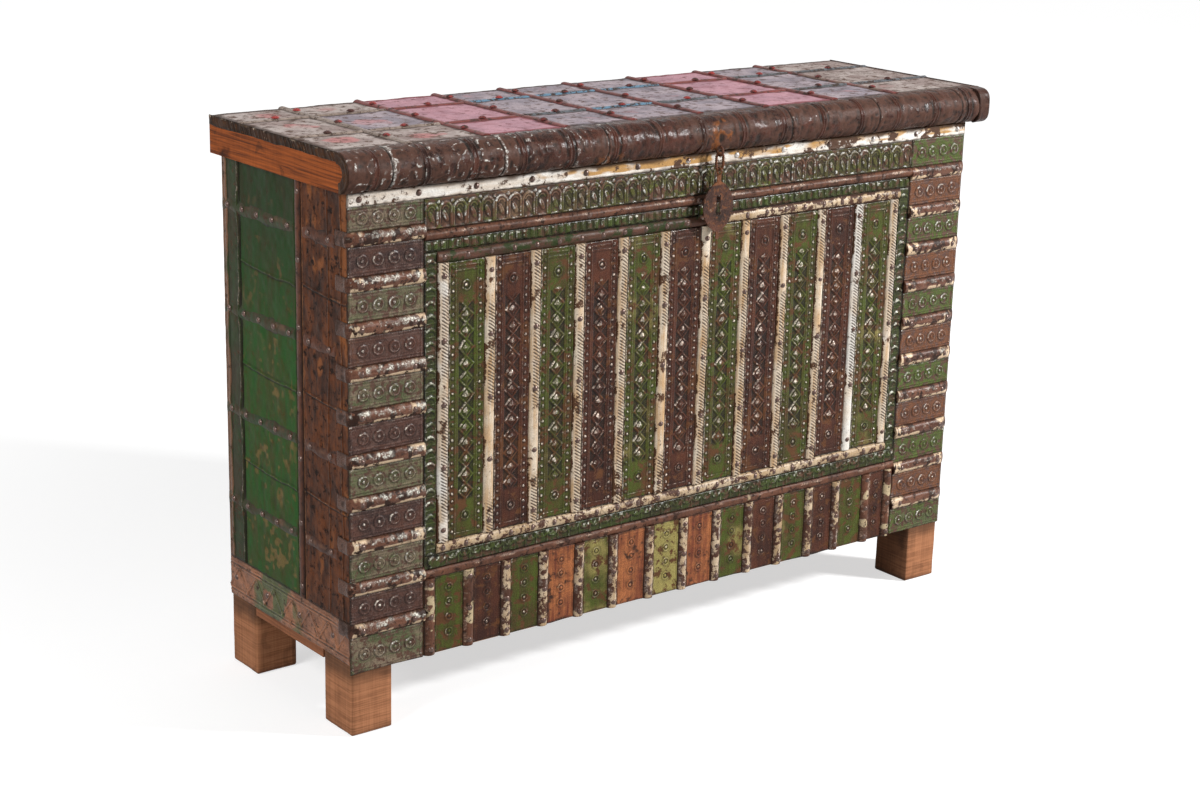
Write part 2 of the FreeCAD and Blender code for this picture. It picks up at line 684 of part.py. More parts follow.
def lid_boards():
    """Round-nosed front board, two boards behind it, and the battens below them."""
    length = f"{LID_WOOD_RIGHT} - {LID_WOOD_LEFT}"
    front_back = f"({FRONT} - nose_out + front_plank_depth)"
    flat = block("lid_front_flat", (LID_WOOD_LEFT, NOSE_Y, LID_LOW),
                 (LID_WOOD_RIGHT, front_back, LID_WOOD_HIGH))
    nose = rod("lid_front_nose", NOSE_RADIUS, length, (LID_WOOD_LEFT, NOSE_Y, NOSE_Z), ALONG_X)
    node("lid_front_plank", fused("lid_front_plank", flat, nose))
    seam = f"(({front_back} + {LID_BACK})/2)"
    node("lid_planks",
         block("lid_middle_plank", (LID_WOOD_LEFT, front_back, LID_LOW),
               (LID_WOOD_RIGHT, seam, LID_WOOD_HIGH)),
         block("lid_rear_plank", (LID_WOOD_LEFT, seam, LID_LOW),
               (LID_WOOD_RIGHT, LID_BACK, LID_WOOD_HIGH)))
    front = f"{WOOD_FRONT} + rail_thickness + lid_batten_room"
    back = f"{BACK} - rail_thickness - lid_batten_room"
    battens = []
    spread = f"({POSTS_RIGHT} - {POSTS_LEFT} - lid_batten - 2*lid_batten_inset)"
    for place, share in enumerate(PAIR_SHARES):
        middle = f"{MID_X} + ({share})*{spread}"
        battens.append(block(f"lid_batten_{place + 1}",
                             (f"{middle} - lid_batten/2", front, f"{LID_LOW} - lid_batten_height"),
                             (f"{middle} + lid_batten/2", back, LID_LOW)))
    node("lid_battens", *battens)


def nose_shell(name, left, length, inner, outer):
    """Shell round the lid's nose, from its top to where it tucks under."""
    sector = rod(name + "_sector", outer, length, (left, NOSE_Y, NOSE_Z), ALONG_X)
    sector.setExpression("Angle", sized(f"180 deg - asin(sheath_tuck/({outer}))"))
    bore_at = (f"({left}) - overrun", NOSE_Y, NOSE_Z)
    bore = rod(name + "_bore", inner, f"({length}) + 2*overrun", bore_at, ALONG_X)
    return cut(name, sector, bore)


def lid_roll():
    """Sheath over the lid's nose and the raised bands round it."""
    length = f"{LID_WOOD_RIGHT} - {LID_WOOD_LEFT}"
    outer = f"{NOSE_RADIUS} + lid_sheet"
    shell = nose_shell("lid_roll_shell", LID_WOOD_LEFT, length, NOSE_RADIUS, outer)
    flange = block("lid_roll_flange", (LID_WOOD_LEFT, NOSE_Y, LID_WOOD_HIGH),
                   (LID_WOOD_RIGHT, SHEATH_BACK, LID_SHEET_HIGH))
    node("lid_roll_sheath", fused("lid_roll_sheath", shell, flange))
    pitch = f"(({LID_RIGHT} - {LID_LEFT} - 2*roll_band_margin)/{ROLL_BANDS - 1})"
    bands = []
    for place in range(ROLL_BANDS):
        middle = f"({LID_LEFT} + roll_band_margin + {place}*{pitch})"
        bands.append(nose_shell(f"lid_roll_band_{place + 1}", f"{middle} - roll_band/2", "roll_band",
                                outer, f"{outer} + roll_band_rise"))
    node("lid_roll_bands", *bands)


def lid_sheets():
    """Painted sheets of the lid's top, in three rows, and its two edges."""
    strap_lines = [f"{LID_LEFT} + {share}*({LID_RIGHT} - {LID_LEFT})" for share in CROSS_STRAP_SHARES]
    columns = [LID_WOOD_LEFT, *strap_lines, LID_WOOD_RIGHT]
    rows = [SHEATH_BACK, MIDDLE_STRAP_Y, REAR_STRAP_Y, LID_BACK]
    colours = {"grey": [], "red": []}
    for column, (left, right) in enumerate(zip(columns, columns[1:])):
        for row, (front, back) in enumerate(zip(rows, rows[1:])):
            sheet_piece = block(f"lid_sheet_{column + 1}_{row + 1}", (left, front, LID_WOOD_HIGH),
                                (right, back, LID_SHEET_HIGH))
            colours[LID_COLOURS[column]].append(sheet_piece)
    node("lid_grey_sheets", *colours["grey"])
    node("lid_red_sheets", *colours["red"])
    node("lid_left_edge", block("lid_left_edge", (LID_LEFT, NOSE_Y, f"{LID_SHEET_HIGH} - left_edge_height"),
                                (LID_WOOD_LEFT, LID_BACK, LID_SHEET_HIGH)))
    node("lid_right_cap", block("lid_right_cap", (LID_WOOD_RIGHT, NOSE_Y, LID_LOW),
                                (LID_RIGHT, LID_BACK, LID_SHEET_HIGH)))


def lid_straps():
    """Cross straps over the lid's sheets, and lengthwise straps between them."""
    high = f"{LID_SHEET_HIGH} + lid_strap_rise"
    middles = [f"{LID_LEFT} + {share}*({LID_RIGHT} - {LID_LEFT})" for share in CROSS_STRAP_SHARES]
    crosses = []
    for place, middle in enumerate(middles):
        crosses.append(block(f"lid_cross_strap_{place + 1}",
                             (f"{middle} - cross_strap/2", SHEATH_BACK, LID_SHEET_HIGH),
                             (f"{middle} + cross_strap/2", LID_BACK, high)))
    node("lid_cross_straps", *crosses)
    starts = [LID_WOOD_LEFT] + [f"{middle} + cross_strap/2" for middle in middles]
    ends_of_runs = [f"{middle} - cross_strap/2" for middle in middles] + [LID_WOOD_RIGHT]
    runs = []
    for row, line in enumerate((MIDDLE_STRAP_Y, REAR_STRAP_Y)):
        for column, (left, right) in enumerate(zip(starts, ends_of_runs)):
            runs.append(block(f"lid_long_strap_{row + 1}_{column + 1}",
                              (left, f"{line} - long_strap/2", LID_SHEET_HIGH),
                              (right, f"{line} + long_strap/2", high)))
    node("lid_long_straps", *runs)


# Hinges

def knuckle(name, left, length):
    at = (left, HINGE_Y, HINGE_Z)
    barrel = rod(name + "_barrel", "knuckle_radius", length, at, ALONG_X)
    bore_at = (f"({left}) - overrun", HINGE_Y, HINGE_Z)
    bore = rod(name + "_bore", "pin_radius + pin_room", f"({length}) + 2*overrun", bore_at, ALONG_X)
    return cut(name, barrel, bore)


def hinges():
    """Three hinges: a leaf on the back rail, a leaf on the lid's back edge, and the pin."""
    body_leaves, lid_leaves, pins = [], [], []
    leaf_back = f"{LID_BACK} + leaf_gauge"
    clear = "knuckle_radius + knuckle_play"
    for place, share in enumerate(TRIO_SHARES):
        name = f"hinge_{place + 1}"
        middle = f"({MID_X} + ({share})*{HINGE_SPREAD})"
        left, right = f"({middle} - leaf_width/2)", f"({middle} + leaf_width/2)"
        plate_high = f"({HINGE_Z} - ({clear}))"
        parts = [block(name + "_low_plate", (left, LID_BACK, f"{plate_high} - leaf_height"),
                       (right, leaf_back, plate_high))]
        for end, start in (("left", left), ("right", f"({right} - knuckle_length)")):
            parts.append(block(f"{name}_{end}_tab", (start, LID_BACK, plate_high),
                               (f"{start} + knuckle_length", leaf_back, HINGE_Z)))
            parts.append(knuckle(f"{name}_{end}_knuckle", start, "knuckle_length"))
        body_leaves.append(fused(name + "_body_leaf", *parts))
        plate_low = f"({HINGE_Z} + {clear})"
        tab_left = f"({left} + knuckle_length + knuckle_play)"
        tab_right = f"({right} - knuckle_length - knuckle_play)"
        plate = block(name + "_high_plate", (left, LID_BACK, plate_low),
                      (right, leaf_back, f"{plate_low} + leaf_height"))
        tab = block(name + "_middle_tab", (tab_left, LID_BACK, HINGE_Z), (tab_right, leaf_back, plate_low))
        middle_knuckle = knuckle(name + "_middle_knuckle", tab_left, f"{tab_right} - {tab_left}")
        lid_leaves.append(fused(name + "_lid_leaf", plate, tab, middle_knuckle))
        pins.append(rod(name + "_pin", "pin_radius", "leaf_width", (left, HINGE_Y, HINGE_Z), ALONG_X))
    node("hinge_body_leaves", *body_leaves)
    node("hinge_lid_leaves", *lid_leaves)
    node("hinge_pins", *pins)


# Hasp

def hasp_staple():
    """Round eye under the lid's nose, driven into it by its shank."""
    eye = ring("staple_eye", "staple_radius", "hasp_wire", (HASP_X, HASP_Y, STAPLE_Z), ALONG_X)
    shank = rod("staple_shank", "shank_radius", "staple_shank",
                (HASP_X, HASP_Y, f"{STAPLE_Z} + staple_radius"), UPRIGHT)
    node("hasp_staple", fused("hasp_staple", eye, shank))


def hasp_link():
    """Long ring that hangs in the staple's eye and carries the plate."""
    body = new_body("hasp_link", (HASP_X, HASP_Y, f"({LINK_PIVOT_Z} + {PLATE_PIVOT_Z})/2"))
    radius, half = number("link_radius"), number("link_straight/2")
    path = new_sketch(body, "link_path", "XZ_Plane")
    normal = FreeCAD.Vector(0, 0, 1)
    path.addGeometry(Part.LineSegment(FreeCAD.Vector(radius, -half, 0), FreeCAD.Vector(radius, half, 0)))
    path.addGeometry(Part.ArcOfCircle(Part.Circle(FreeCAD.Vector(0, half, 0), normal, radius), 0, math.pi))
    path.addGeometry(Part.LineSegment(FreeCAD.Vector(-radius, half, 0), FreeCAD.Vector(-radius, -half, 0)))
    path.addGeometry(Part.ArcOfCircle(Part.Circle(FreeCAD.Vector(0, -half, 0), normal, radius),
                                      math.pi, 2 * math.pi))
    for this, following in ((0, 1), (1, 2), (2, 3), (3, 0)):
        path.addConstraint(Sketcher.Constraint("Tangent", this, 2, following, 1))
    path.addConstraint(Sketcher.Constraint("Vertical", 0))
    path.addConstraint(Sketcher.Constraint("Symmetric", 1, 3, 3, 3, -1, 1))
    bound(path, Sketcher.Constraint("Radius", 1, radius), "bend", "link_radius")
    bound(path, Sketcher.Constraint("Distance", 0, 2 * half), "straight", "link_straight")
    profile = new_sketch(body, "link_profile", "XY_Plane")
    wire = number("hasp_wire")
    profile.addGeometry(Part.Circle(FreeCAD.Vector(radius, 0, 0), normal, wire))
    profile.addConstraint(Sketcher.Constraint("PointOnObject", 0, 3, -1))
    bound(profile, Sketcher.Constraint("DistanceX", -1, 1, 0, 3, radius), "offset", "link_radius")
    bound(profile, Sketcher.Constraint("Radius", 0, wire), "wire", "hasp_wire")
    pipe = body.newObject("PartDesign::AdditivePipe", "link_pipe")
    pipe.Profile = profile
    pipe.Spine = (path, ["Edge1", "Edge2", "Edge3", "Edge4"])
    node("hasp_link", body)


def hasp_plate():
    """Pierced oval plate with an eye, a neck and a narrow tail."""
    front = f"({HASP_Y} - hasp_gauge/2)"
    back = f"({HASP_Y} + hasp_gauge/2)"
    arc = "((oval_height^2 + oval_width^2)/(4*oval_width))"
    shift = f"({arc} - oval_width/2)"
    lobes = []
    for side, middle in (("left", f"{HASP_X} - {shift}"), ("right", f"{HASP_X} + {shift}")):
        lobes.append(rod(f"oval_{side}_lobe", arc, "hasp_gauge", (middle, front, OVAL_Z), ALONG_Y))
    oval = doc.addObject("Part::MultiCommon", "hasp_oval")
    oval.Shapes = lobes
    neck = block("hasp_neck", (f"{HASP_X} - neck_width/2", front, f"{OVAL_Z} + oval_height/2 - neck_length"),
                 (f"{HASP_X} + neck_width/2", back, f"{EYE_Z} - eye_radius"))
    tail_low = f"({OVAL_Z} - oval_height/2 - tail_length)"
    tail = block("hasp_tail", (f"{HASP_X} - tail_width/2", front, tail_low),
                 (f"{HASP_X} + tail_width/2", back, f"{OVAL_Z} - oval_height/2 + tail_length"))
    eye = ring("hasp_eye", "eye_radius", "hasp_wire", (HASP_X, HASP_Y, EYE_Z), ALONG_X)
    slot_low = f"({OVAL_Z} - slot_height/2 + slot_rise)"
    slot = block("hasp_slot", (f"{HASP_X} - slot_width/2", f"{front} - overrun", slot_low),
                 (f"{HASP_X} + slot_width/2", f"{back} + overrun", f"{slot_low} + slot_height"))
    slot_eye = rod("hasp_slot_eye", "slot_eye", "hasp_gauge + 2*overrun",
                   (HASP_X, f"{front} - overrun", slot_low), ALONG_Y)
    blank = fused("hasp_blank", oval, neck, tail, eye)
    node("hasp_plate", cut("hasp_plate", blank, fused("hasp_slot_tool", slot, slot_eye)))


# Nails

def nail_shape(kind):
    """Dome-headed nail with its head up and the seat of its head at zero."""
    head, dome = number(f"{kind}_head"), number(f"{kind}_dome")
    shank, length = number("nail_shank"), number("nail_length")
    top, brim = FreeCAD.Vector(0, 0, dome), FreeCAD.Vector(head, 0, 0)
    arc_radius = (head ** 2 + dome ** 2) / (2 * dome)
    tilt = math.asin(head / arc_radius) / 2
    shoulder = FreeCAD.Vector(arc_radius * math.sin(tilt), 0, dome - arc_radius * (1 - math.cos(tilt)))
    neck, foot = FreeCAD.Vector(shank, 0, 0), FreeCAD.Vector(shank, 0, 2 * shank - length)
    tip = FreeCAD.Vector(0, 0, -length)
    edges = [Part.Arc(top, shoulder, brim).toShape()]
    for start, end in ((brim, neck), (neck, foot), (foot, tip), (tip, top)):
        edges.append(Part.LineSegment(start, end).toShape())
    profile = Part.Face(Part.Wire(edges))
    return profile.revolve(FreeCAD.Vector(0, 0, 0), FreeCAD.Vector(0, 0, 1), 360)


def nails(label, **groups):
    """Nails of one or two kinds, each at a point and with its head along a direction."""
    shapes = []
    for kind, places in groups.items():
        nail = nail_shape(kind)
        for x, y, z, outward in places:
            turn = FreeCAD.Rotation(FreeCAD.Vector(0, 0, 1), outward)
            copy = nail.copy()
            copy.Placement = FreeCAD.Placement(FreeCAD.Vector(x, y, z), turn)
            shapes.append(copy)
    item = doc.addObject("Part::Feature", label)
    item.Shape = Part.makeCompound(shapes)
    item.Placement = FreeCAD.Placement()
    node(label, item)


def evenly(start, end, pitch):
    """Places between two ends, at about a given pitch and at equal steps."""
    steps = max(1, round((end - start) / pitch))
    return [start + (end - start) * step / steps for step in range(steps + 1)]


def front_nails():
    """Nails of the rim, the bars, the strips and the lowest row."""
    face, seat, margin = number(WOOD_FRONT), number("nail_seat"), number("nail_margin")
    forward = FreeCAD.Vector(0, -1, 0)
    places = []

    def add(x, z, rise):
        places.append((x, face - number(rise) + seat, z, forward))

    rim_z = number(f"{RIM_LOW} + rim_height/2")
    for x in evenly(number(LEFT) + margin, number(RIGHT) - margin, number("rim_nail_pitch")):
        add(x, rim_z, "rim_rise")
    for first, inner, outer in (("left_first_bar", FIELD_LEFT, LEFT),
                                ("right_first_bar", FIELD_RIGHT, RIGHT)):
        near, far = number(inner), number(outer)
        inward = math.copysign(margin, far - near)
        for place in range(COLUMN_BARS):
            z = number(f"{first} + {place}*column_pitch")
            add(near + inward, z, "column_bar_rise")
            add(far - inward, z, "column_bar_rise")
    left, right = number(f"{STRIPES_LEFT} + strip_width/2"), number(f"{STRIPES_RIGHT} - strip_width/2")
    low, high = number(STRIPES_LOW), number(STRIPES_HIGH)
    for place in range(STRIPS):
        x = left + (right - left) * place / (STRIPS - 1)
        for z in evenly(low + margin, high - margin, number("strip_nail_pitch")):
            add(x, z, "strip_rise")
    for middle in (f"{STRIPES_HIGH} + nailed_bar/2", f"{SCALLOP_HIGH} + nailed_bar/2"):
        for x in evenly(left, right, number("band_nail_pitch")):
            add(x, number(middle), "nailed_bar_rise")
    field_left, field_right = number(FIELD_LEFT), number(FIELD_RIGHT)
    for share in ROUND_BAR_NAIL_SHARES:
        x = field_left + share * (field_right - field_left)
        add(x, number(f"{ROUND_LOW} + round_bar/2"), "round_bar_rise")
    lowest = number("body_bottom + lower_nail_margin")
    highest = number(f"{LOWER_HIGH} - lower_nail_margin")
    for share in LOWER_BAR_SHARES:
        x = field_left + share * (field_right - field_left)
        for z in evenly(lowest, highest, number("lower_nail_pitch")):
            add(x, z, "lower_bar_rise")
    nails("front_nails", nail=places)


def side_nails():
    """Nails of the straps, the upright bars and the base sheets of both ends."""
    seat, margin = number("nail_seat"), number("nail_margin")
    strap, skin = number("side_gauge + strap_gauge"), number("side_gauge")
    front, back = number(f"{WOOD_FRONT} + column_bar_return"), number(BACK)
    bar_y = number(f"{END_BAR_FRONT} + end_bar_width/2")
    bar_front, bar_back = number(END_BAR_FRONT), number(END_BAR_BACK)
    base_low, base_high = number("body_bottom + base_lift"), number(BASE_HIGH)
    strap_z = [number(f"body_bottom + {share}*(body_top - body_bottom)") for share in STRAP_RISE_SHARES]
    places = []
    for face, outward in ((number(WOOD_LEFT), -1), (number(WOOD_RIGHT), 1)):
        direction = FreeCAD.Vector(outward, 0, 0)
        for z in strap_z:
            rows = evenly(front + margin, bar_front - margin, number("strap_nail_pitch"))
            rows += evenly(bar_back + margin, back - margin, number("strap_nail_pitch"))
            for y in rows:
                places.append((face + outward * (strap - seat), y, z, direction))
        for z in evenly(base_high + margin, number("body_top") - margin, number("strip_nail_pitch")):
            places.append((face + outward * (2 * skin - seat), bar_y, z, direction))
        for y in evenly(front + margin, back - margin, number("rim_nail_pitch")):
            places.append((face + outward * (skin - seat), y, (base_low + base_high) / 2, direction))
    nails("side_nails", nail=places)


def lid_nails():
    """Nails of the lid's straps, and of the hinge leaves on its back edge."""
    height = number(f"{LID_SHEET_HIGH} + lid_strap_rise - lid_nail_seat")
    rows = [number(line) for line in (SHEATH_BACK, MIDDLE_STRAP_Y, REAR_STRAP_Y, LID_BACK)]
    left, right = number(LID_LEFT), number(LID_RIGHT)
    crosses = [left + share * (right - left) for share in CROSS_STRAP_SHARES]
    up, rear = FreeCAD.Vector(0, 0, 1), FreeCAD.Vector(0, 1, 0)
    places = []
    for x in crosses:
        for front, back in zip(rows, rows[1:]):
            places.append((x, (front + back) / 2, height, up))
    edges = [left, *crosses, right]
    for start, end in zip(edges, edges[1:]):
        for y in rows[1:3]:
            places.append(((start + end) / 2, y, height, up))
    low = number(f"{HINGE_Z} + knuckle_radius + knuckle_play")
    on_leaves = leaf_nails(low, low + number("leaf_height"), rear)
    nails("lid_nails", lid_nail=places, nail=on_leaves)


def leaf_nails(low, high, rear):
    """Four nails in each hinge leaf between two heights."""
    face = number(f"{LID_BACK} + leaf_gauge") - number("nail_seat")
    inset = number("leaf_nail_inset")
    places = []
    for share in TRIO_SHARES:
        middle = number(f"{MID_X} + ({share})*{HINGE_SPREAD}")
        for x in (middle - inset, middle + inset):
            for z in (low + inset, high - inset):
                places.append((x, face, z, rear))
    return places


def hinge_nails():
    """Nails of the hinge leaves on the back rail."""
    high = number(f"{HINGE_Z} - knuckle_radius - knuckle_play")
    places = leaf_nails(high - number("leaf_height"), high, FreeCAD.Vector(0, 1, 0))
    nails("hinge_nails", nail=places)


reader = doc.addObject("App::FeaturePython", "Reader")
for post_face in ("front", "back"):
    for post_side in ("left", "right"):
        corner_post(post_side, post_face)
rails()
walls()
floor()
column_panels()
column_bars()
upper_bands()
stripes()
lower_bands()
lower_row()
ends()
lid_boards()
lid_roll()
lid_sheets()
lid_straps()
hinges()
hasp_staple()
hasp_link()
hasp_plate()
front_nails()
side_nails()
lid_nails()
hinge_nails()
doc.recompute()

for item in doc.Objects:
    if "Invalid" in item.State or "Error" in item.State:
        raise RuntimeError(f"{item.Label} failed: {item.State}")
for item in subparts:
    if item.Shape.isNull() or not item.Shape.isValid():
        raise RuntimeError(f"{item.Label} has no valid shape")
os.makedirs("parts", exist_ok=True)
for item in subparts:
    item.Shape.exportStep(f"parts/{item.Label}.step")
print(len(subparts), "nodes written")
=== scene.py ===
import math

import bpy
import numpy as np
from mathutils import Matrix, Vector


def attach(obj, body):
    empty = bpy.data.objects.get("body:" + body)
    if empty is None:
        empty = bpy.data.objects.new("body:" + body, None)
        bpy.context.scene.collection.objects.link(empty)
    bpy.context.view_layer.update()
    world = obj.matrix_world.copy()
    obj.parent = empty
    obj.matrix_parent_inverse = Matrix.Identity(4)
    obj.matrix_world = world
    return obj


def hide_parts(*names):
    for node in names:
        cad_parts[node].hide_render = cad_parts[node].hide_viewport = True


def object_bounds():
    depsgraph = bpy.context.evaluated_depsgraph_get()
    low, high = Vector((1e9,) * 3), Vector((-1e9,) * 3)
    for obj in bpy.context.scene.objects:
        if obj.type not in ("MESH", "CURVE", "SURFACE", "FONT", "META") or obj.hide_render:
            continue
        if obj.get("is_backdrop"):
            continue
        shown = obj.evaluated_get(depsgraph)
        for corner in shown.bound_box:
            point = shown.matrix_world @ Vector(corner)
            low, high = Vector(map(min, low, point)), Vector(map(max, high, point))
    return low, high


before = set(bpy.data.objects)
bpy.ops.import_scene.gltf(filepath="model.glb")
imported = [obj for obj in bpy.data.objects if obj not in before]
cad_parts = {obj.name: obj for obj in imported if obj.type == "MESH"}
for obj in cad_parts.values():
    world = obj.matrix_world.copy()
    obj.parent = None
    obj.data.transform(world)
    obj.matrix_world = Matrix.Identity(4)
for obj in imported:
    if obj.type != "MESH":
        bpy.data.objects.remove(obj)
cad_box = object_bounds()

# Sizes are in millimetres in the chest's own frame, and go to metres where a mesh is made
MM = 0.001
LEFT, RIGHT = -710.0, 690.0
FACE = -201.525
WOOD_LEFT, WOOD_RIGHT = -708.0, 688.0
BACK = 210.475
BOTTOM, TOP = 116.0, 937.0
FIELD_LEFT, FIELD_RIGHT = -564.0, 547.0
STRIPES_LEFT, STRIPES_RIGHT = -539.0, 520.0
STRIPES_LOW, STRIPES_HIGH = 317.0, 803.0
STRIPS = 12
STRIP_WIDTH = 24.0
STRIP_PITCH = (STRIPES_RIGHT - STRIPES_LEFT - STRIP_WIDTH) / (STRIPS - 1)
COLUMN_BARS = 10
COLUMN_PITCH = 74.3
COLUMN_BAR = 26.0
COLUMNS = {"left": (192.0, LEFT, FIELD_LEFT), "right": (179.0, FIELD_RIGHT, RIGHT)}
LOWER_HIGH = 256.0
LOWER_BAR = 23.0
LOWER_BAR_SHARES = (0.011, 0.083, 0.154, 0.227, 0.299, 0.368, 0.444, 0.516,
                    0.588, 0.659, 0.729, 0.799, 0.863, 0.935, 0.989)
LOWER_COLOURS = ("green", "brown", "green", "orange", "green", "orange", "green",
                 "orange", "green", "brown", "green", "brown", "green", "brown")
STRAP_HEIGHTS = (318.0, 486.3, 668.5, 851.6)
LID_LEFT, LID_RIGHT = -726.0, 726.0
LID_WOOD_TOP, LID_SHEET_TOP = 1001.0, 1003.5
LID_BACK = 222.475
NOSE_Y, NOSE_Z = -197.025, 969.25
NOSE_RADIUS = 31.75
SHEATH_BACK = -183.025
CROSS_STRAP_SHARES = (0.099, 0.205, 0.318, 0.418, 0.522, 0.628, 0.745, 0.855)
LONG_STRAPS = (-52.025, 118.975)
LID_COLOURS = ("grey", "grey", "red", "grey", "grey", "grey", "red", "grey", "grey")
ROLL_BANDS = 15
HASP_X, HASP_Y = 46.0, -223.025

# Front: edges of the bands, and centre heights of the level bars
SCALLOP_LOW, SCALLOP_HIGH = 272.0, 297.0
REED_LOW, REED_HIGH = 823.0, 843.0
ARCH_LOW, RIM_LOW = 861.0, 913.0
LEDGE_Z, LOWER_NAILED_Z, UPPER_NAILED_Z, ROUND_BAR_Z = 264.0, 307.0, 813.0, 852.0
UPPER_BAR_CHANGE = 75.0

# Ends: edges of the sheets, from front to back and from below
SIDE_FRONT, CORNER_BACK, GREEN_FRONT, GREEN_BACK, SIDE_BACK = -201.5, -58.5, -37.5, 148.5, 210.4
FLAT_BAR_FRONT, FLAT_BAR_BACK, STRAP_FRONT = -56.5, -38.5, -167.5
BASE_LOW, SIDE_LOW = 131.0, 205.0
POST_WIDTH, POST_DEPTH = 83.0, 90.0

# Lid: ends of its sheets and its roll, skin of the roll, and the cap at the right
LID_END, ROLL_END, ROLL_SKIN = 723.5, 723.0, 2.5
CAP_INNER, CAP_OUTER = 697.0, 725.4
CRINKLE_LOW, CAP_LOW = 986.5, 937.5
HASH_FACTORS, HASH_MASK = (374761393, 668265263, 974634777, 1274126177), 0xFFFFFFFF


# Noise and simple profiles

def lattice(ix, iy, seed):
    """Repeatable value from 0 to 1 for each point of a whole-number grid."""
    for_x, for_y, for_seed, for_mixing = HASH_FACTORS
    n = (ix.astype(np.int64) * for_x + iy.astype(np.int64) * for_y + seed * for_seed) & HASH_MASK
    n = ((n ^ (n >> 13)) * for_mixing) & HASH_MASK
    return ((n ^ (n >> 16)) & 0xFFFF) / 65535.0


def noise(x, y, size, seed):
    """Smooth noise from -1 to 1, with features of about one size."""
    gx, gy = np.asarray(x) / size, np.asarray(y) / size
    ix, iy = np.floor(gx), np.floor(gy)
    fx, fy = gx - ix, gy - iy
    fx, fy = fx * fx * (3 - 2 * fx), fy * fy * (3 - 2 * fy)
    low = lattice(ix, iy, seed) * (1 - fx) + lattice(ix + 1, iy, seed) * fx
    high = lattice(ix, iy + 1, seed) * (1 - fx) + lattice(ix + 1, iy + 1, seed) * fx
    return 2 * (low * (1 - fy) + high * fy) - 1


def rough(x, y, size, seed):
    """Noise of three sizes, each half as strong as the one before."""
    total = noise(x, y, size, seed)
    total = total + 0.5 * noise(x, y, size / 2.1, seed + 1)
    return (total + 0.25 * noise(x, y, size / 4.3, seed + 2)) / 1.75


def unit(v):
    """Values held between 0 and 1."""
    return np.clip(v, 0, 1)


def ridge(distance, width):
    return unit(1 - (distance / width) ** 2)


def rules(v, width, *places):
    """Embossed lines at some places."""
    return sum(ridge(v - place, width) for place in places)


def dome(u, v, radius):
    return np.sqrt(unit(1 - (u * u + v * v) / radius ** 2))


def ring(u, v, radius, width):
    return ridge(np.hypot(u, v) - radius, width)


def nearest(v, pitch, start=0.0):
    """Distance, with its sign, to the nearest of evenly spaced places."""
    return (v - start + pitch / 2) % pitch - pitch / 2


def step_up(v, start, width):
    t = unit((v - start) / width)
    return t * t * (3 - 2 * t)


def flecks(x, y, size, seed, start, width):
    """Soft-edged spots where rough noise rises above start."""
    return step_up(rough(x, y, size, seed), start, width)


def blurred(a, reach):
    """Running mean both ways, twice over."""
    for axis in (0, 1, 0, 1):
        pad = [(0, 0), (0, 0)]
        pad[axis] = (reach + 1, reach)
        total = np.cumsum(np.pad(a, pad, mode="edge"), axis)
        high = np.take(total, range(2 * reach + 1, total.shape[axis]), axis)
        low = np.take(total, range(total.shape[axis] - 2 * reach - 1), axis)
        a = (high - low) / (2 * reach + 1)
    return a


def wear_dirt_and_light(height, gain, seed=0):
    """Two masks of a relief, from how it stands above and below its blurred self.

    The first is wear on the raised parts, broken up as paint is lost in spots, and a painted highlight that is
    strongest where they face up and left. The second is grime in the low parts with painted shade, and more
    painted shade where the relief falls away to the right and down."""
    fine, broad = height - blurred(height, 1), height - blurred(height, 5)
    rows, cols = np.indices(height.shape)
    up, right = np.gradient(blurred(height, 1))
    lean = (right - 0.8 * up) * gain
    broken = step_up(noise(cols, rows, 3.6, 11 + seed) + 0.4 * noise(cols, rows, 17, 12 + seed), -0.35, 0.6)
    # Painted highlight, strongest on faces that turn up and left, over wear on the raised parts.
    wear_and_highlight = unit((1.5 * fine + 0.4 * broad) * gain - 0.1) * (0.35 + 1.3 * np.clip(lean, 0, 0.8))
    wear_and_highlight = unit(wear_and_highlight * (0.1 + 0.9 * broken) + step_up(lean, 0.25, 0.55) * (0.3 + 0.7 * broken))
    # Grime and painted shade in the low parts, and painted shade on faces that turn down and right.
    hollow = -(1.3 * fine + 0.7 * broad) * gain + 0.55 * step_up(-lean, 0.2, 0.6)
    return {"wear_and_highlight": wear_and_highlight, "hollow": unit(hollow)}


# Meshes

def stacked(x, y, z):
    """Points from three coordinates, each an array or one number."""
    return np.stack(np.broadcast_arrays(x, y, z), -1)


def cells(grid):
    """Faces between the points of a grid of point numbers."""
    return np.stack((grid[:-1, :-1], grid[:-1, 1:], grid[1:, 1:], grid[1:, :-1]), -1).reshape(-1, 4)


def linked(name, data):
    item = bpy.data.objects.new(name, data)
    bpy.context.scene.collection.objects.link(item)
    return item


def write_fields(mesh, fields):
    """Masks on the points of a mesh. Points past the end of a mask get its mean."""
    for key, values in fields.items():
        values = np.asarray(values)
        full = np.full(len(mesh.vertices), values.mean(), np.float32)
        full[:values.size] = values.ravel()
        mesh.attributes.new(key, "FLOAT", "POINT").data.foreach_set("value", full)


def dressed(name, mesh, look, body, node):
    """Piece with a look, riding on a body and standing for a node of the CAD model."""
    mesh.materials.append(LOOKS[look])
    item = linked(name, mesh)
    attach(item, body)
    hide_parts(node)


def make_mesh(name, points, quads, others, smooth, fields, look, body, node):
    """Piece from arrays of points and faces, of which the first ones are shaded smooth."""
    mesh = bpy.data.meshes.new(name)
    mesh.vertices.add(len(points))
    mesh.vertices.foreach_set("co", (points * MM).ravel())
    sizes = [4] * len(quads) + [len(face) for face in others]
    corners = np.concatenate([quads.ravel(), *others])
    mesh.loops.add(len(corners))
    mesh.loops.foreach_set("vertex_index", corners.astype(np.int32))
    mesh.polygons.add(len(sizes))
    mesh.polygons.foreach_set("loop_start", np.cumsum([0] + sizes[:-1]).astype(np.int32))
    mesh.update(calc_edges=True)
    mesh.polygons.foreach_set("use_smooth", np.arange(len(sizes)) < smooth)
    write_fields(mesh, fields)
    mesh.validate()
    dressed(name, mesh, look, body, node)


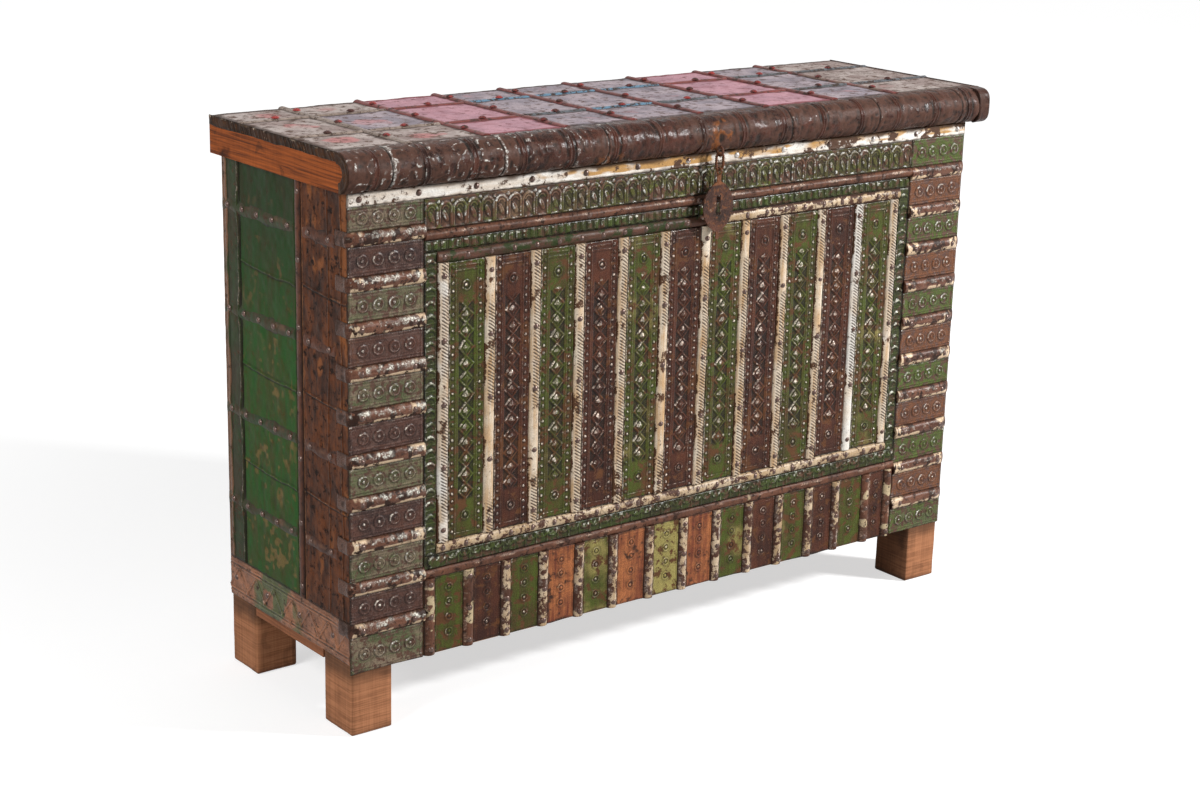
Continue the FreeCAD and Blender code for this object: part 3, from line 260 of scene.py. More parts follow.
def shell(name, outer, low, high, look, node, fields, body="chest"):
    """Closed sheet: a fine grid of points outside, plain faces inside and at its ends."""
    rows, cols = outer.shape[:2]
    grid = np.arange(rows * cols).reshape(rows, cols)
    under = rows * cols + np.arange(cols)
    over = under + cols

    def band(a, b):
        return np.stack((a[:-1], a[1:], b[1:], b[:-1]), -1)

    front = cells(grid)
    quads = np.concatenate((front, band(under, grid[0]), band(grid[-1], over), band(over, under)))
    ends = [np.concatenate(([under[0]], grid[:, 0], [over[0]])),
            np.concatenate(([over[-1]], grid[::-1, -1], [under[-1]]))]
    points = np.concatenate((outer.reshape(-1, 3), low, high))
    make_mesh(name, points, quads, ends, len(front), fields, look, body, node)


def flat_grid(low, high, step):
    """Two arrays of places that cover a rectangle."""
    return np.meshgrid(*(np.linspace(a, b, max(3, round((b - a) / step) + 1)) for a, b in zip(low, high)))


def dents(u, v, seed, depth):
    return depth * rough(u, v, 46, seed) + 0.22 * depth * noise(u, v, 11, seed + 5)


def inset(u, v, wide, tall):
    """Distance to the nearest edge of a sheet."""
    return np.minimum(np.minimum(u, wide - u), np.minimum(v, tall - v))


def plate(name, low, high, place, look, node, relief=None, *, seed, step=1.4, base=1.1, edge=1.6,
          depth=0.45, gain=1.0, wave=0.0, tone=0.0, chip=None, hollow=None, body="chest"):
    """Embossed sheet over a rectangle. place(a, b, height) gives the points in space.

    relief, chip, the added grime and painted shade, and tone where it varies, are functions of
    (u, v, wide, tall): the place on the sheet and the sheet's size."""
    a, b = flat_grid(low, high, step)
    u, v = a - low[0], b - low[1]
    at = u, v, high[0] - low[0], high[1] - low[1]
    border = inset(*at)
    height = relief(*at) if relief else 0
    lifted = (base + height + dents(a, b, seed, depth)) * (0.25 + 0.75 * step_up(border, 0, edge))
    lifted = np.maximum(lifted, 0.15)
    fields = wear_dirt_and_light(lifted, gain, seed)
    grime = 1 - step_up(border + 2.5 * noise(a, b, 9, seed + 2), 0.5, 4.5)
    fields["hollow"] = unit(fields["hollow"] + 0.7 * grime)
    if hollow:
        fields["hollow"] = np.maximum(fields["hollow"], hollow(*at))
    fields["chip"] = chip(*at) if chip else 0.0
    fields["tone"] = tone(*at) if callable(tone) else tone
    shown = b + wave * rough(a, 0, 60, seed + 9) * (v < 1e-6)
    shell(name, place(a, shown, lifted), place(a[0], shown[0], 0), place(a[-1], shown[-1], 0), look, node,
          fields, body)


def on_front(x, z, height):
    return stacked(x, FACE - height, z)


def on_lid(x, y, height):
    return stacked(x, y, LID_WOOD_TOP + height)


def on_end(x, sign):
    """Plane across x. Seen from outside, places on a left end (sign -1) run from back to front."""
    return lambda y, z, height: stacked(x + sign * height, sign * y, z)


# Materials

class Tree:
    """Short names for the nodes of one material."""

    def __init__(self, name):
        self.material = bpy.data.materials.new(name)
        self.material.use_nodes = True
        self.nodes, self.links = self.material.node_tree.nodes, self.material.node_tree.links
        self.nodes.clear()
        self.out = self.nodes.new("ShaderNodeOutputMaterial")
        self.shader = self.nodes.new("ShaderNodeBsdfPrincipled")
        self.links.new(self.shader.outputs[0], self.out.inputs[0])
        self.place = self.nodes.new("ShaderNodeTexCoord").outputs["Object"]

    def put(self, socket, value):
        if isinstance(value, bpy.types.NodeSocket):
            self.links.new(value, socket)
        else:
            socket.default_value = value

    def math(self, operation, a, b):
        node = self.nodes.new("ShaderNodeMath")
        node.operation = operation
        self.put(node.inputs[0], a)
        self.put(node.inputs[1], b)
        return node.outputs[0]

    def add(self, a, b):
        return self.math("ADD", a, b)

    def times(self, a, b):
        return self.math("MULTIPLY", a, b)

    def stretched(self, scale):
        node = self.nodes.new("ShaderNodeMapping")
        node.inputs["Scale"].default_value = scale
        self.links.new(self.place, node.inputs["Vector"])
        return node.outputs[0]

    def noise(self, scale, detail, rough_share=0.6, vector=None, twist=0.0):
        node = self.nodes.new("ShaderNodeTexNoise")
        self.put(node.inputs["Vector"], vector or self.place)
        node.inputs["Scale"].default_value = scale
        node.inputs["Detail"].default_value = detail
        node.inputs["Roughness"].default_value = rough_share
        node.inputs["Distortion"].default_value = twist
        return node.outputs["Fac"]

    def between(self, value, low, high, out_low=0.0, out_high=1.0):
        node = self.nodes.new("ShaderNodeMapRange")
        node.interpolation_type = "SMOOTHSTEP"
        for key, number in (("Value", value), ("From Min", low), ("From Max", high),
                            ("To Min", out_low), ("To Max", out_high)):
            self.put(node.inputs[key], number)
        return node.outputs["Result"]

    def field(self, name):
        node = self.nodes.new("ShaderNodeAttribute")
        node.attribute_name = name
        return node.outputs["Fac"]

    def mix(self, share, a, b, blend="MIX"):
        node = self.nodes.new("ShaderNodeMix")
        node.data_type = "RGBA"
        node.blend_type = blend
        self.put(node.inputs["Factor"], share)
        for socket, value in ((node.inputs[6], a), (node.inputs[7], b)):
            self.put(socket, value if isinstance(value, bpy.types.NodeSocket) else (*value, 1.0))
        return node.outputs[2]

    def bump(self, height, distance, strength):
        node = self.nodes.new("ShaderNodeBump")
        node.inputs["Distance"].default_value = distance
        node.inputs["Strength"].default_value = strength
        self.put(node.inputs["Height"], height)
        self.links.new(node.outputs[0], self.shader.inputs["Normal"])


LOOKS = {}


def finish_look(tree, name, colour, roughness, bend, metal=0.0):
    tree.put(tree.shader.inputs["Base Color"], colour)
    tree.put(tree.shader.inputs["Roughness"], roughness)
    tree.shader.inputs["Metallic"].default_value = metal
    tree.shader.inputs["IOR"].default_value = bend
    LOOKS[name] = tree.material


def painted(name, light, dark, rust, rusted, gloss, other=None, wear_and_highlight=(0.62, 0.54, 0.44), crowned=0.9,
            grime_and_shade=(0.012, 0.009, 0.007), grime_and_shade_share=0.9, streak=0.45, speck=0.5, rust_scale=60.0, edge=0.07, bend=1.22,
            run=(150.0, 150.0, 13.0)):
    """Old paint on sheet metal: two shades of paint, rust showing through, bare metal with painted highlights
    where the relief stands up, and grime with painted shade where it sinks.

    rusted is the share of the surface where the paint is lost. other is a third shade that the
    field named tone brings in."""
    t = Tree(name)
    broad = t.noise(14.0, 3.0, 0.6)
    brush = t.noise(1.0, 4.0, 0.6, t.stretched(run))
    middle = t.noise(rust_scale, 5.0, 0.68)
    fine = t.noise(520.0, 2.0, 0.6)
    uneven = t.math("SUBTRACT", fine, 0.5)
    shade = t.add(t.times(broad, 1 - streak), t.times(brush, streak))
    colour = t.mix(t.between(shade, 0.38, 0.62), light, dark)
    if other:
        spread = t.add(t.field("tone"), t.times(t.math("SUBTRACT", broad, 0.5), 1.4))
        colour = t.mix(t.between(spread, 0.3, 0.7), colour, other)
    loss = t.add(t.add(middle, t.times(uneven, 0.25)), t.times(t.field("chip"), 0.5))
    cut = 0.72 - 0.42 * rusted
    rust_mask = t.between(loss, cut, cut + edge)
    colour = t.mix(rust_mask, colour, t.mix(t.between(fine, 0.35, 0.65), rust, tuple(c * 0.5 for c in rust)))
    # Bare metal where paint is lost on the raised parts, together with painted highlights.
    ragged = t.add(t.field("wear_and_highlight"), t.times(uneven, 0.5))
    wear_and_highlight_mask = t.times(t.between(ragged, 0.16, 0.72), t.between(middle, 0.38, 0.6, 0.4, 1.0))
    wear_and_highlight_mask = t.times(wear_and_highlight_mask, crowned)
    # Painted glints: some of these spots come out much brighter than the rest.
    spark = t.between(t.noise(300.0, 2.0, 0.6), 0.48, 0.58)
    bright = t.mix(spark, tuple(0.4 * c for c in wear_and_highlight), tuple(min(0.9, 1.45 * c) for c in wear_and_highlight))
    colour = t.mix(wear_and_highlight_mask, colour, bright)
    # Grime colour over the second mask, which carries both grime and painted shade.
    colour = t.mix(t.times(t.field("hollow"), grime_and_shade_share), colour, grime_and_shade)
    specks = t.mix(t.between(fine, 0.3, 0.7), (0.35, 0.35, 0.35), (1.0, 1.0, 1.0))
    colour = t.mix(speck, colour, specks, "MULTIPLY")
    roughness = t.math("SUBTRACT", t.add(gloss, t.times(rust_mask, 0.22)), t.times(wear_and_highlight_mask, 0.14))
    roughness = t.add(roughness, t.between(fine, 0.35, 0.65, -0.05, 0.08))
    t.bump(t.add(t.times(rust_mask, -0.5), t.add(t.times(fine, 0.35), middle)), 0.0006, 0.8)
    finish_look(t, name, colour, roughness, bend)


def timber(name, light, dark, along, grain=1.0, grime=0.35, gloss=0.62, *, sawn, knots=0.0, bend=1.2):
    """Old wood: grain along one axis, darker bands, saw marks across, cracks, lighter scuffed edges, and grime
    with painted shade.
    """
    t = Tree(name)
    fast, slow = 190.0 * grain, 5.0 * grain
    scale = [slow if axis == along else fast for axis in "xyz"]
    across = [330.0 if axis == along else 9.0 for axis in "xyz"]
    long_grain = t.noise(1.0, 4.0, 0.65, t.stretched(scale), 0.6)
    saw = t.noise(1.0, 2.0, 0.5, t.stretched(across))
    broad = t.noise(11.0, 4.0, 0.62)
    fine = t.noise(600.0, 2.0, 0.6)
    colour = t.mix(t.between(long_grain, 0.3, 0.68), dark, light)
    colour = t.mix(t.between(broad, 0.56, 0.78, 0.0, grime), colour, tuple(c * 0.25 for c in dark))
    marks = t.mix(t.between(saw, 0.38, 0.6), (0.36, 0.3, 0.26), (1.12, 1.1, 1.08))
    colour = t.mix(t.times(t.between(broad, 0.35, 0.6, 0.4, 1.0), sawn), colour, marks, "MULTIPLY")
    crack = t.between(long_grain, 0.2, 0.29, 1.0, 0.0)
    knot = t.between(t.noise(19.0, 1.0, 0.4, twist=0.8), 0.66, 0.72, 0.0, knots)
    # Lighter scuffed edges from the first mask, grime and painted shade from the second.
    for share, shade in ((t.times(t.field("wear_and_highlight"), 0.5), tuple(min(1, c * 1.35) for c in light)),
                         (t.times(t.field("hollow"), 0.8), (0.02, 0.012, 0.008)),
                         (t.times(crack, 0.8), (0.02, 0.011, 0.006)), (knot, (0.018, 0.01, 0.006))):
        colour = t.mix(share, colour, shade)
    t.bump(t.add(t.times(long_grain, 0.8), t.add(t.times(saw, 0.25), t.times(fine, 0.12))), 0.0009, 0.9)
    finish_look(t, name, colour, t.add(gloss, t.times(fine, 0.15)), bend)


ALONG_X = (13.0, 150.0, 150.0)
painted("green_paint", (0.064, 0.084, 0.01), (0.056, 0.042, 0.01), (0.135, 0.056, 0.02), 0.46, 0.25,
        other=(0.3, 0.25, 0.08), crowned=1.0, grime_and_shade=(0.006, 0.004, 0.002))
painted("brown_paint", (0.09, 0.027, 0.013), (0.038, 0.012, 0.007), (0.145, 0.054, 0.02), 0.42, 0.25,
        other=(0.2, 0.072, 0.024), wear_and_highlight=(0.6, 0.48, 0.4), crowned=1.0, grime_and_shade=(0.006, 0.004, 0.002))
painted("column_green_paint", (0.095, 0.11, 0.046), (0.23, 0.17, 0.115), (0.15, 0.075, 0.05), 0.53, 0.27,
        other=(0.085, 0.115, 0.022), wear_and_highlight=(0.78, 0.66, 0.56), crowned=1.0, grime_and_shade=(0.01, 0.007, 0.004), speck=0.6,
        rust_scale=115.0, bend=1.24, run=ALONG_X)
painted("column_brown_paint", (0.105, 0.044, 0.03), (0.05, 0.026, 0.022), (0.17, 0.09, 0.07), 0.46, 0.27,
        other=(0.18, 0.07, 0.032), wear_and_highlight=(0.7, 0.56, 0.48), crowned=1.0, grime_and_shade=(0.008, 0.005, 0.004), speck=0.6,
        rust_scale=115.0, bend=1.24, run=ALONG_X)
painted("arch_paint", (0.1, 0.104, 0.024), (0.064, 0.05, 0.02), (0.16, 0.075, 0.045), 0.51, 0.25,
        other=(0.26, 0.15, 0.09), wear_and_highlight=(0.74, 0.67, 0.58), grime_and_shade=(0.008, 0.005, 0.003), run=ALONG_X)
painted("border_paint", (0.05, 0.07, 0.013), (0.034, 0.034, 0.01), (0.12, 0.06, 0.032), 0.49, 0.25,
        other=(0.12, 0.14, 0.04), wear_and_highlight=(0.68, 0.62, 0.52), crowned=1.0, grime_and_shade=(0.008, 0.006, 0.004))
painted("orange_paint", (0.4, 0.14, 0.052), (0.15, 0.038, 0.02), (0.065, 0.028, 0.018), 0.47, 0.36,
        wear_and_highlight=(0.6, 0.36, 0.2), streak=0.5, speck=0.7, rust_scale=100.0, edge=0.2)
painted("cream_paint", (0.66, 0.56, 0.44), (0.5, 0.32, 0.17), (0.12, 0.055, 0.028), 0.26, 0.42,
        other=(0.72, 0.68, 0.62), wear_and_highlight=(0.66, 0.6, 0.52), crowned=0.5, grime_and_shade=(0.03, 0.014, 0.007), grime_and_shade_share=1.0,
        streak=0.5, speck=0.4, rust_scale=130.0)
painted("rim_paint", (0.8, 0.77, 0.72), (0.64, 0.55, 0.46), (0.1, 0.05, 0.03), 0.37, 0.36,
        other=(0.46, 0.26, 0.095), wear_and_highlight=(0.7, 0.66, 0.62), crowned=0.6, grime_and_shade=(0.06, 0.03, 0.014), grime_and_shade_share=0.95,
        streak=0.6, speck=0.4, rust_scale=75.0, edge=0.08, run=ALONG_X)
painted("bar_paint", (0.165, 0.072, 0.044), (0.075, 0.03, 0.019), (0.035, 0.014, 0.008), 0.43, 0.27,
        other=(0.64, 0.47, 0.31), wear_and_highlight=(0.72, 0.61, 0.53), crowned=0.85, grime_and_shade=(0.03, 0.012, 0.006),
        rust_scale=85.0, run=ALONG_X)
painted("top_bar_paint", (0.12, 0.054, 0.037), (0.055, 0.03, 0.018), (0.034, 0.05, 0.014), 0.58, 0.38,
        wear_and_highlight=(0.4, 0.32, 0.26), crowned=0.3, rust_scale=34.0, edge=0.1, bend=1.18, run=ALONG_X)
painted("chipped_bar_paint", (0.58, 0.45, 0.31), (0.4, 0.27, 0.15), (0.095, 0.04, 0.025), 0.52, 0.34,
        wear_and_highlight=(0.62, 0.52, 0.44), crowned=0.5, rust_scale=80.0, edge=0.04)
painted("brown_bar_paint", (0.15, 0.062, 0.036), (0.075, 0.033, 0.021), (0.038, 0.017, 0.011), 0.43, 0.42,
        other=(0.5, 0.39, 0.24), wear_and_highlight=(0.52, 0.37, 0.28), crowned=0.8, speck=0.6, rust_scale=85.0, edge=0.08,
        bend=1.2)
painted("rust_paint", (0.12, 0.035, 0.01), (0.034, 0.012, 0.006), (0.012, 0.006, 0.004), 0.47, 0.36,
        other=(0.19, 0.062, 0.018), wear_and_highlight=(0.42, 0.22, 0.12), streak=0.65, speck=0.6, rust_scale=75.0, edge=0.13,
        bend=1.14, run=(60.0, 60.0, 18.0))
painted("base_paint", (0.36, 0.15, 0.074), (0.175, 0.072, 0.039), (0.05, 0.028, 0.014), 0.4, 0.32,
        other=(0.09, 0.1, 0.035), wear_and_highlight=(0.5, 0.35, 0.26), crowned=0.8, streak=0.4, rust_scale=85.0, edge=0.12,
        run=(90.0, 14.0, 60.0))
painted("side_bar_paint", (0.1, 0.034, 0.017), (0.045, 0.018, 0.011), (0.022, 0.011, 0.008), 0.44, 0.34,
        other=(0.15, 0.07, 0.04), wear_and_highlight=(0.36, 0.24, 0.17), crowned=0.8, streak=0.4, edge=0.14, bend=1.18)
painted("side_green_paint", (0.013, 0.07, 0.008), (0.036, 0.048, 0.008), (0.08, 0.05, 0.012), 0.45, 0.34,
        other=(0.13, 0.09, 0.026), wear_and_highlight=(0.26, 0.18, 0.12), crowned=0.8, streak=0.7, speck=0.55, rust_scale=34.0,
        edge=0.24, bend=1.13, run=(60.0, 60.0, 9.0))
painted("edging_paint", (0.022, 0.04, 0.012), (0.036, 0.03, 0.014), (0.09, 0.05, 0.028), 0.38, 0.36,
        other=(0.17, 0.085, 0.05), wear_and_highlight=(0.34, 0.28, 0.22), streak=0.5, speck=0.55, bend=1.15)
painted("strap_paint", (0.02, 0.04, 0.014), (0.05, 0.032, 0.018), (0.07, 0.038, 0.022), 0.4, 0.36,
        other=(0.11, 0.062, 0.036), wear_and_highlight=(0.34, 0.24, 0.18), streak=0.5, edge=0.14, bend=1.16)
painted("roll_paint", (0.09, 0.033, 0.022), (0.024, 0.01, 0.0075), (0.11, 0.05, 0.034), 0.4, 0.29,
        other=(0.2, 0.066, 0.02), wear_and_highlight=(0.72, 0.61, 0.56), crowned=0.8, streak=0.35, speck=0.6, edge=0.08,
        bend=1.19, run=(120.0, 16.0, 16.0))
painted("crinkle_paint", (0.05, 0.024, 0.014), (0.02, 0.01, 0.006), (0.09, 0.038, 0.016), 0.42, 0.42,
        other=(0.2, 0.12, 0.07), wear_and_highlight=(0.6, 0.46, 0.34), speck=0.4, edge=0.1, bend=1.13)
painted("grey_paint", (0.43, 0.36, 0.385), (0.28, 0.245, 0.275), (0.18, 0.12, 0.105), 0.47, 0.72,
        other=(0.48, 0.27, 0.28), wear_and_highlight=(0.55, 0.46, 0.42), crowned=0.7, grime_and_shade=(0.045, 0.03, 0.025), streak=0.0,
        rust_scale=62.0, edge=0.12, bend=1.16)
painted("pale_paint", (0.48, 0.41, 0.38), (0.32, 0.25, 0.23), (0.18, 0.115, 0.09), 0.48, 0.72,
        other=(0.48, 0.23, 0.22), wear_and_highlight=(0.62, 0.54, 0.48), crowned=0.7, grime_and_shade=(0.045, 0.027, 0.02), streak=0.0,
        rust_scale=62.0, edge=0.1, bend=1.16)
painted("red_paint", (0.53, 0.3, 0.34), (0.43, 0.25, 0.29), (0.28, 0.14, 0.14), 0.42, 0.72,
        other=(0.3, 0.06, 0.055), wear_and_highlight=(0.6, 0.42, 0.4), crowned=0.5, grime_and_shade=(0.16, 0.03, 0.03), streak=0.0,
        rust_scale=55.0, edge=0.14, bend=1.16)
painted("red_strap_paint", (0.2, 0.05, 0.044), (0.12, 0.038, 0.034), (0.075, 0.042, 0.036), 0.44, 0.38,
        other=(0.2, 0.14, 0.11), wear_and_highlight=(0.42, 0.26, 0.22), crowned=0.6, speck=0.4, edge=0.1)
painted("slate_paint", (0.12, 0.13, 0.145), (0.06, 0.06, 0.062), (0.06, 0.04, 0.033), 0.54, 0.38,
        other=(0.11, 0.2, 0.28), wear_and_highlight=(0.42, 0.4, 0.38), crowned=0.7, speck=0.4, rust_scale=110.0, edge=0.06)
painted("iron", (0.13, 0.05, 0.03), (0.04, 0.019, 0.014), (0.2, 0.075, 0.032), 0.48, 0.36,
        other=(0.19, 0.07, 0.028), wear_and_highlight=(0.42, 0.27, 0.19), streak=0.1, speck=0.6, rust_scale=120.0, edge=0.08)
painted("pale_strap_paint", (0.3, 0.235, 0.2), (0.17, 0.125, 0.1), (0.09, 0.055, 0.04), 0.46, 0.38,
        wear_and_highlight=(0.5, 0.42, 0.36), crowned=0.8, speck=0.4, rust_scale=90.0, edge=0.1)
painted("red_nail_paint", (0.3, 0.04, 0.035), (0.14, 0.028, 0.025), (0.07, 0.03, 0.024), 0.62, 0.3,
        wear_and_highlight=(0.5, 0.43, 0.38), streak=0.0, speck=0.4, rust_scale=55.0)
timber("foot_timber", (0.375, 0.164, 0.08), (0.29, 0.124, 0.06), "z", grime=0.45, sawn=0.5, knots=0.2)
timber("rail_timber", (0.26, 0.1, 0.045), (0.13, 0.052, 0.028), "y", sawn=0.15)
timber("box_timber", (0.25, 0.115, 0.055), (0.115, 0.05, 0.026), "x", 0.6, 0.6, sawn=0.12, knots=0.5)
timber("box_timber_end", (0.25, 0.115, 0.055), (0.115, 0.05, 0.026), "y", 0.6, 0.6, sawn=0.12, knots=0.5)
timber("lid_timber", (0.27, 0.07, 0.018), (0.07, 0.02, 0.008), "y", 1.2, 1.0, gloss=0.5, sawn=0.2,
       knots=0.4, bend=1.14)


def nail_look():
    """Domed nails: brown iron, brighter along the rim."""
    t = Tree("nail_metal")
    parts = t.nodes.new("ShaderNodeSeparateXYZ")
    t.links.new(t.place, parts.inputs[0])
    rim = t.times(t.between(parts.outputs["Z"], 0.912, 0.916), t.between(parts.outputs["X"], -0.3, 0.0))
    coarse, fine = t.noise(45.0, 2.0), t.noise(420.0, 3.0, 0.65)
    colour = t.mix(t.between(fine, 0.4, 0.62), (0.11, 0.058, 0.042), (0.035, 0.018, 0.012))
    bright = t.mix(t.between(fine, 0.45, 0.65), (0.62, 0.58, 0.54), (0.16, 0.11, 0.085))
    colour = t.mix(t.times(rim, t.between(coarse, 0.4, 0.55)), colour, bright)
    t.bump(fine, 0.0004, 0.8)
    finish_look(t, "nail_metal", colour, t.between(fine, 0.3, 0.7, 0.2, 0.36), 1.45, metal=0.3)


nail_look()


# Reliefs, in millimetres above the sheet

def stripe_relief(shift):
    """Chain of crossing diagonals with a small pyramid in each diamond, between two rows of beads."""
    mark = int(100 * shift)

    def relief(u, v, wide, tall):
        off = u - (wide / 2 + 0.6 * shift + 1.2 * noise(v, 0, 70, mark))
        chain = step_up(v, 64, 10) * step_up(tall - v, 66, 10)
        v2 = v + 9 * shift + 1.5 * noise(v, 0, 45, 3 + mark)
        zig = 13.5 * (1 - 4 * np.abs((v2 / 56) % 1 - 0.5))
        uneven = np.clip(0.66 + 0.5 * noise(u, v, 9, 5 + mark), 0.2, 1)
        strands = np.maximum(unit(1 - np.abs(off - zig) / 4.4),
                             0.8 * unit(1 - np.abs(off + zig) / 4.4)) * uneven
        pyramid = unit(1.02 - (np.abs(off) / 11.0 + np.abs(nearest(v2, 28)) / 11.5))
        trough = step_up(17 - np.abs(off), 0, 3) * chain
        bead = np.maximum(*(dome(u - place, nearest(v, 13.6, 4 * shift), 2.7) for place in (9.5, wide - 9.5)))
        lines = rules(u, 1.5, 3, 15.5, wide - 15.5, wide - 3)
        inner = step_up(u, 12, 2) * step_up(wide - u, 12, 2)
        heads = rules(v, 1.5, 10, tall - 8, tall - 16) * inner
        roses = sum(1.3 * ring(off, v - place, 8, 1.6) + 1.9 * dome(off, v - place, 3.4)
                    for place in (40, tall - 43))
        total = (3.3 * strands * (np.abs(off) <= 26) + 5.9 * pyramid * (0.5 + 0.5 * uneven)) * chain - trough
        return total + 2.3 * bead + 0.9 * lines + heads + roses + 0.9
    return relief


def column_relief(u, v, wide, tall):
    """Row of four ringed bosses between double lines."""
    middle = tall / 2
    total = np.zeros_like(u)
    for share in (0.19, 0.395, 0.605, 0.815):
        du, dv = u - share * wide, v - middle
        total = total + 2.0 * ring(du, dv, 8.8, 2.0) + 0.9 * ring(du, dv, 5.4, 1.3) + 2.6 * dome(du, dv, 3.1)
    for place in (3.5, 8.5, tall - 3.5, tall - 8.5):
        total = total + 1.5 * ridge(v - place, 1.5) * (0.6 + 0.4 * np.sin(u * 1.9))
    for share in (0.29, 0.5, 0.71):
        total = total + 0.7 * ridge(u - share * wide, 1.1) * (v < middle - 3) * (v > 10)
    return total + rules(u, 1.5, 4, wide - 5)


def arch_relief(u, v, wide, tall):
    """Row of round-headed arches, each over a slanting leaf."""
    pitch = 27.8
    cu = nearest(u, pitch, pitch / 2)
    side = np.abs(cu)
    uneven = 0.7 + 0.3 * noise(u, v, 8, 21)
    head = ring(cu, v - 31, 11.8, 2.9) * (v > 31)
    inner = ring(cu, v - 31, 6.6, 1.8) * (v > 31)
    legs = ridge(side - 11.8, 2.5) * (v <= 31) * (v > 4)
    tilt_u, tilt_v = cu * 0.9 + (v - 20) * 0.42, (v - 20) * 0.9 - cu * 0.42
    leaf = np.sqrt(unit(1 - (tilt_u / 4.4) ** 2 - (tilt_v / 11) ** 2)) * (1 - 0.5 * ridge(tilt_u, 1.1))
    foot = unit(1.25 - (side / 10 + v / 8))
    drops = dome(nearest(u, pitch), v - 44, 3.4)
    total = (3.0 * head + 1.5 * inner + 2.4 * legs + 3.2 * leaf + 1.8 * foot) * uneven
    return total + 2.2 * drops + ridge(v - 2, 1.5)


def reed_relief(u, v, wide, tall):
    cu = nearest(u, 15.0, 7.5)
    ends = step_up(v, 1.5, 3.5) * step_up(tall - v, 1.5, 3.5)
    uneven = 0.75 + 0.25 * noise(u, v, 12, 23)
    return 3.2 * np.sqrt(ridge(cu, 5.2)) * ends * uneven + 0.7 * ridge(np.abs(cu) - 7.2, 0.9) * ends


def scallop_relief(u, v, wide, tall):
    """Row of hanging scallops with a boss in each."""
    cu = nearest(u, 23.6, 11.8)
    hang = ring(cu, v - (tall - 4), 9.6, 2.6) * (v < tall - 3)
    boss = dome(cu, v - (tall - 9.5), 4.2)
    post = ridge(np.abs(cu) - 11.8, 2.0) * (v < tall - 4)
    uneven = 0.7 + 0.3 * noise(u, v, 7, 25)
    curl = ring(u - 17, v - 13, 11.5, 4.0) * (u - v < 10)
    plain = 1 - unit(1 - (np.hypot(u - 17, v - 13) - 14) / 4)
    total = (2.7 * hang + 2.4 * boss + 1.9 * post) * uneven + ridge(tall - 2 - v, 1.5) + 0.8 * ridge(v - 2, 1.5)
    return 1.6 + (total - 1.6) * plain - 5.0 * curl


def border_relief(u, v, wide, tall):
    """Ladder of curved rungs with a fainter line between them."""
    middle = wide / 2
    arc = 3.5 * (1 - ((u - middle) / 7.5) ** 2)
    inside = np.abs(u - middle) < 8.5
    rung = ridge(nearest(v, 23.2) - arc + 2, 3.2) * inside * (0.75 + 0.25 * noise(u, v, 9, 27))
    faint = ridge(nearest(v, 23.2, 11.6), 1.8) * inside
    return 3.2 * rung + faint + 0.8 * rules(u, 1.4, 2.2, wide - 2.2)


def lower_relief(u, v, wide, tall):
    total = 0.8 * (rules(u, 1.3, 3.5, wide - 3.5) + ridge(tall - 6 - v, 1.3))
    for place in (34, 62, 90, 116):
        du, dv = u - wide / 2, v - place
        total = total + 1.3 * ring(du, dv, 6.8, 1.7) + 1.8 * dome(du, dv, 3.2)
    return total


def rim_relief(u, v, wide, tall):
    return 0.9 * ridge(v - 3.2, 1.5) + 0.5 * ridge(tall - 2.5 - v, 1.6)


def patches(size, seed, level, soft, gain):
    """Field that is high in scattered patches."""
    return lambda u, v, wide, tall: gain * flecks(u, v, size, seed, level, soft)


# Half-round bars

def bar(name, start, end, width, rise, look, node, *, centre, seed, upright=False, place=on_front, step=1.3,
        around=17, power=0.62, wander=0.7, dent=0.5, grooves=None, tone=0.0, chip=None, body="chest"):
    """Half-round bar from start to end about a centre line.

    Across it s runs from -1 to 1, and t runs along it. grooves, chip, and tone where it varies, are
    functions of (s, t)."""
    run = np.linspace(start, end, max(3, round((end - start) / step) + 1))
    turn = np.linspace(-math.pi / 2, math.pi / 2, around)
    s, t = np.meshgrid(np.sin(turn), run, indexing="xy" if upright else "ij")
    arch = unit(1 - s * s)
    height = rise * arch ** power - 0.12 * rise + 0.12 * rise * arch
    height = np.maximum(height + dent * dents(t, s * width, seed, 1.0) * (1 - s ** 4), 0.1)
    groove = grooves(s, t) if grooves else 0
    height = height - 0.9 * groove
    across = centre + wander * rough(t, 0, 150, seed + 3) + s * width / 2
    fields = wear_dirt_and_light(height, 0.35, seed)
    # Painted highlight along one side of the bar, the top side of a level one.
    fields["wear_and_highlight"] = fields["wear_and_highlight"] + 0.6 * step_up(s, 0.0, 0.3) * step_up(0.75 - s, 0, 0.3) * flecks(
        t, s * 8, 24, seed + 6, -0.1, 0.6)
    fields["hollow"] = unit(fields["hollow"] * 0.5 + groove + 0.8 * step_up(np.abs(s), 0.8, 0.2))
    fields["chip"] = chip(s, t) if chip else 0.0
    fields["tone"] = tone(s, t) if callable(tone) else tone
    first, second = (across, t) if upright else (t, across)
    shell(name, place(first, second, height), place(first[0], second[0], 0), place(first[-1], second[-1], 0),
          look, node, fields, body)


# Front: stripes and strips

for i in range(STRIPS - 1):
    left = STRIPES_LEFT + STRIP_WIDTH + i * STRIP_PITCH
    right = STRIPES_LEFT + (i + 1) * STRIP_PITCH
    colour = "brown" if i % 2 else "green"
    plate(f"{colour}_stripe_{i + 1}", (left - 2, STRIPES_LOW), (right + 2, STRIPES_HIGH), on_front,
          f"{colour}_paint", f"{colour}_stripes", stripe_relief((i * 0.37) % 1), step=1.3, seed=40 + i, gain=1.25,
          tone=(0.15, 0.1, 0.2, 0.05, 0.3, 0.1, 0.2, 0.05, 0.1, 0.1, 0.25)[i],
          chip=patches(70, 300 + i, 0.1, 0.5, 0.25))


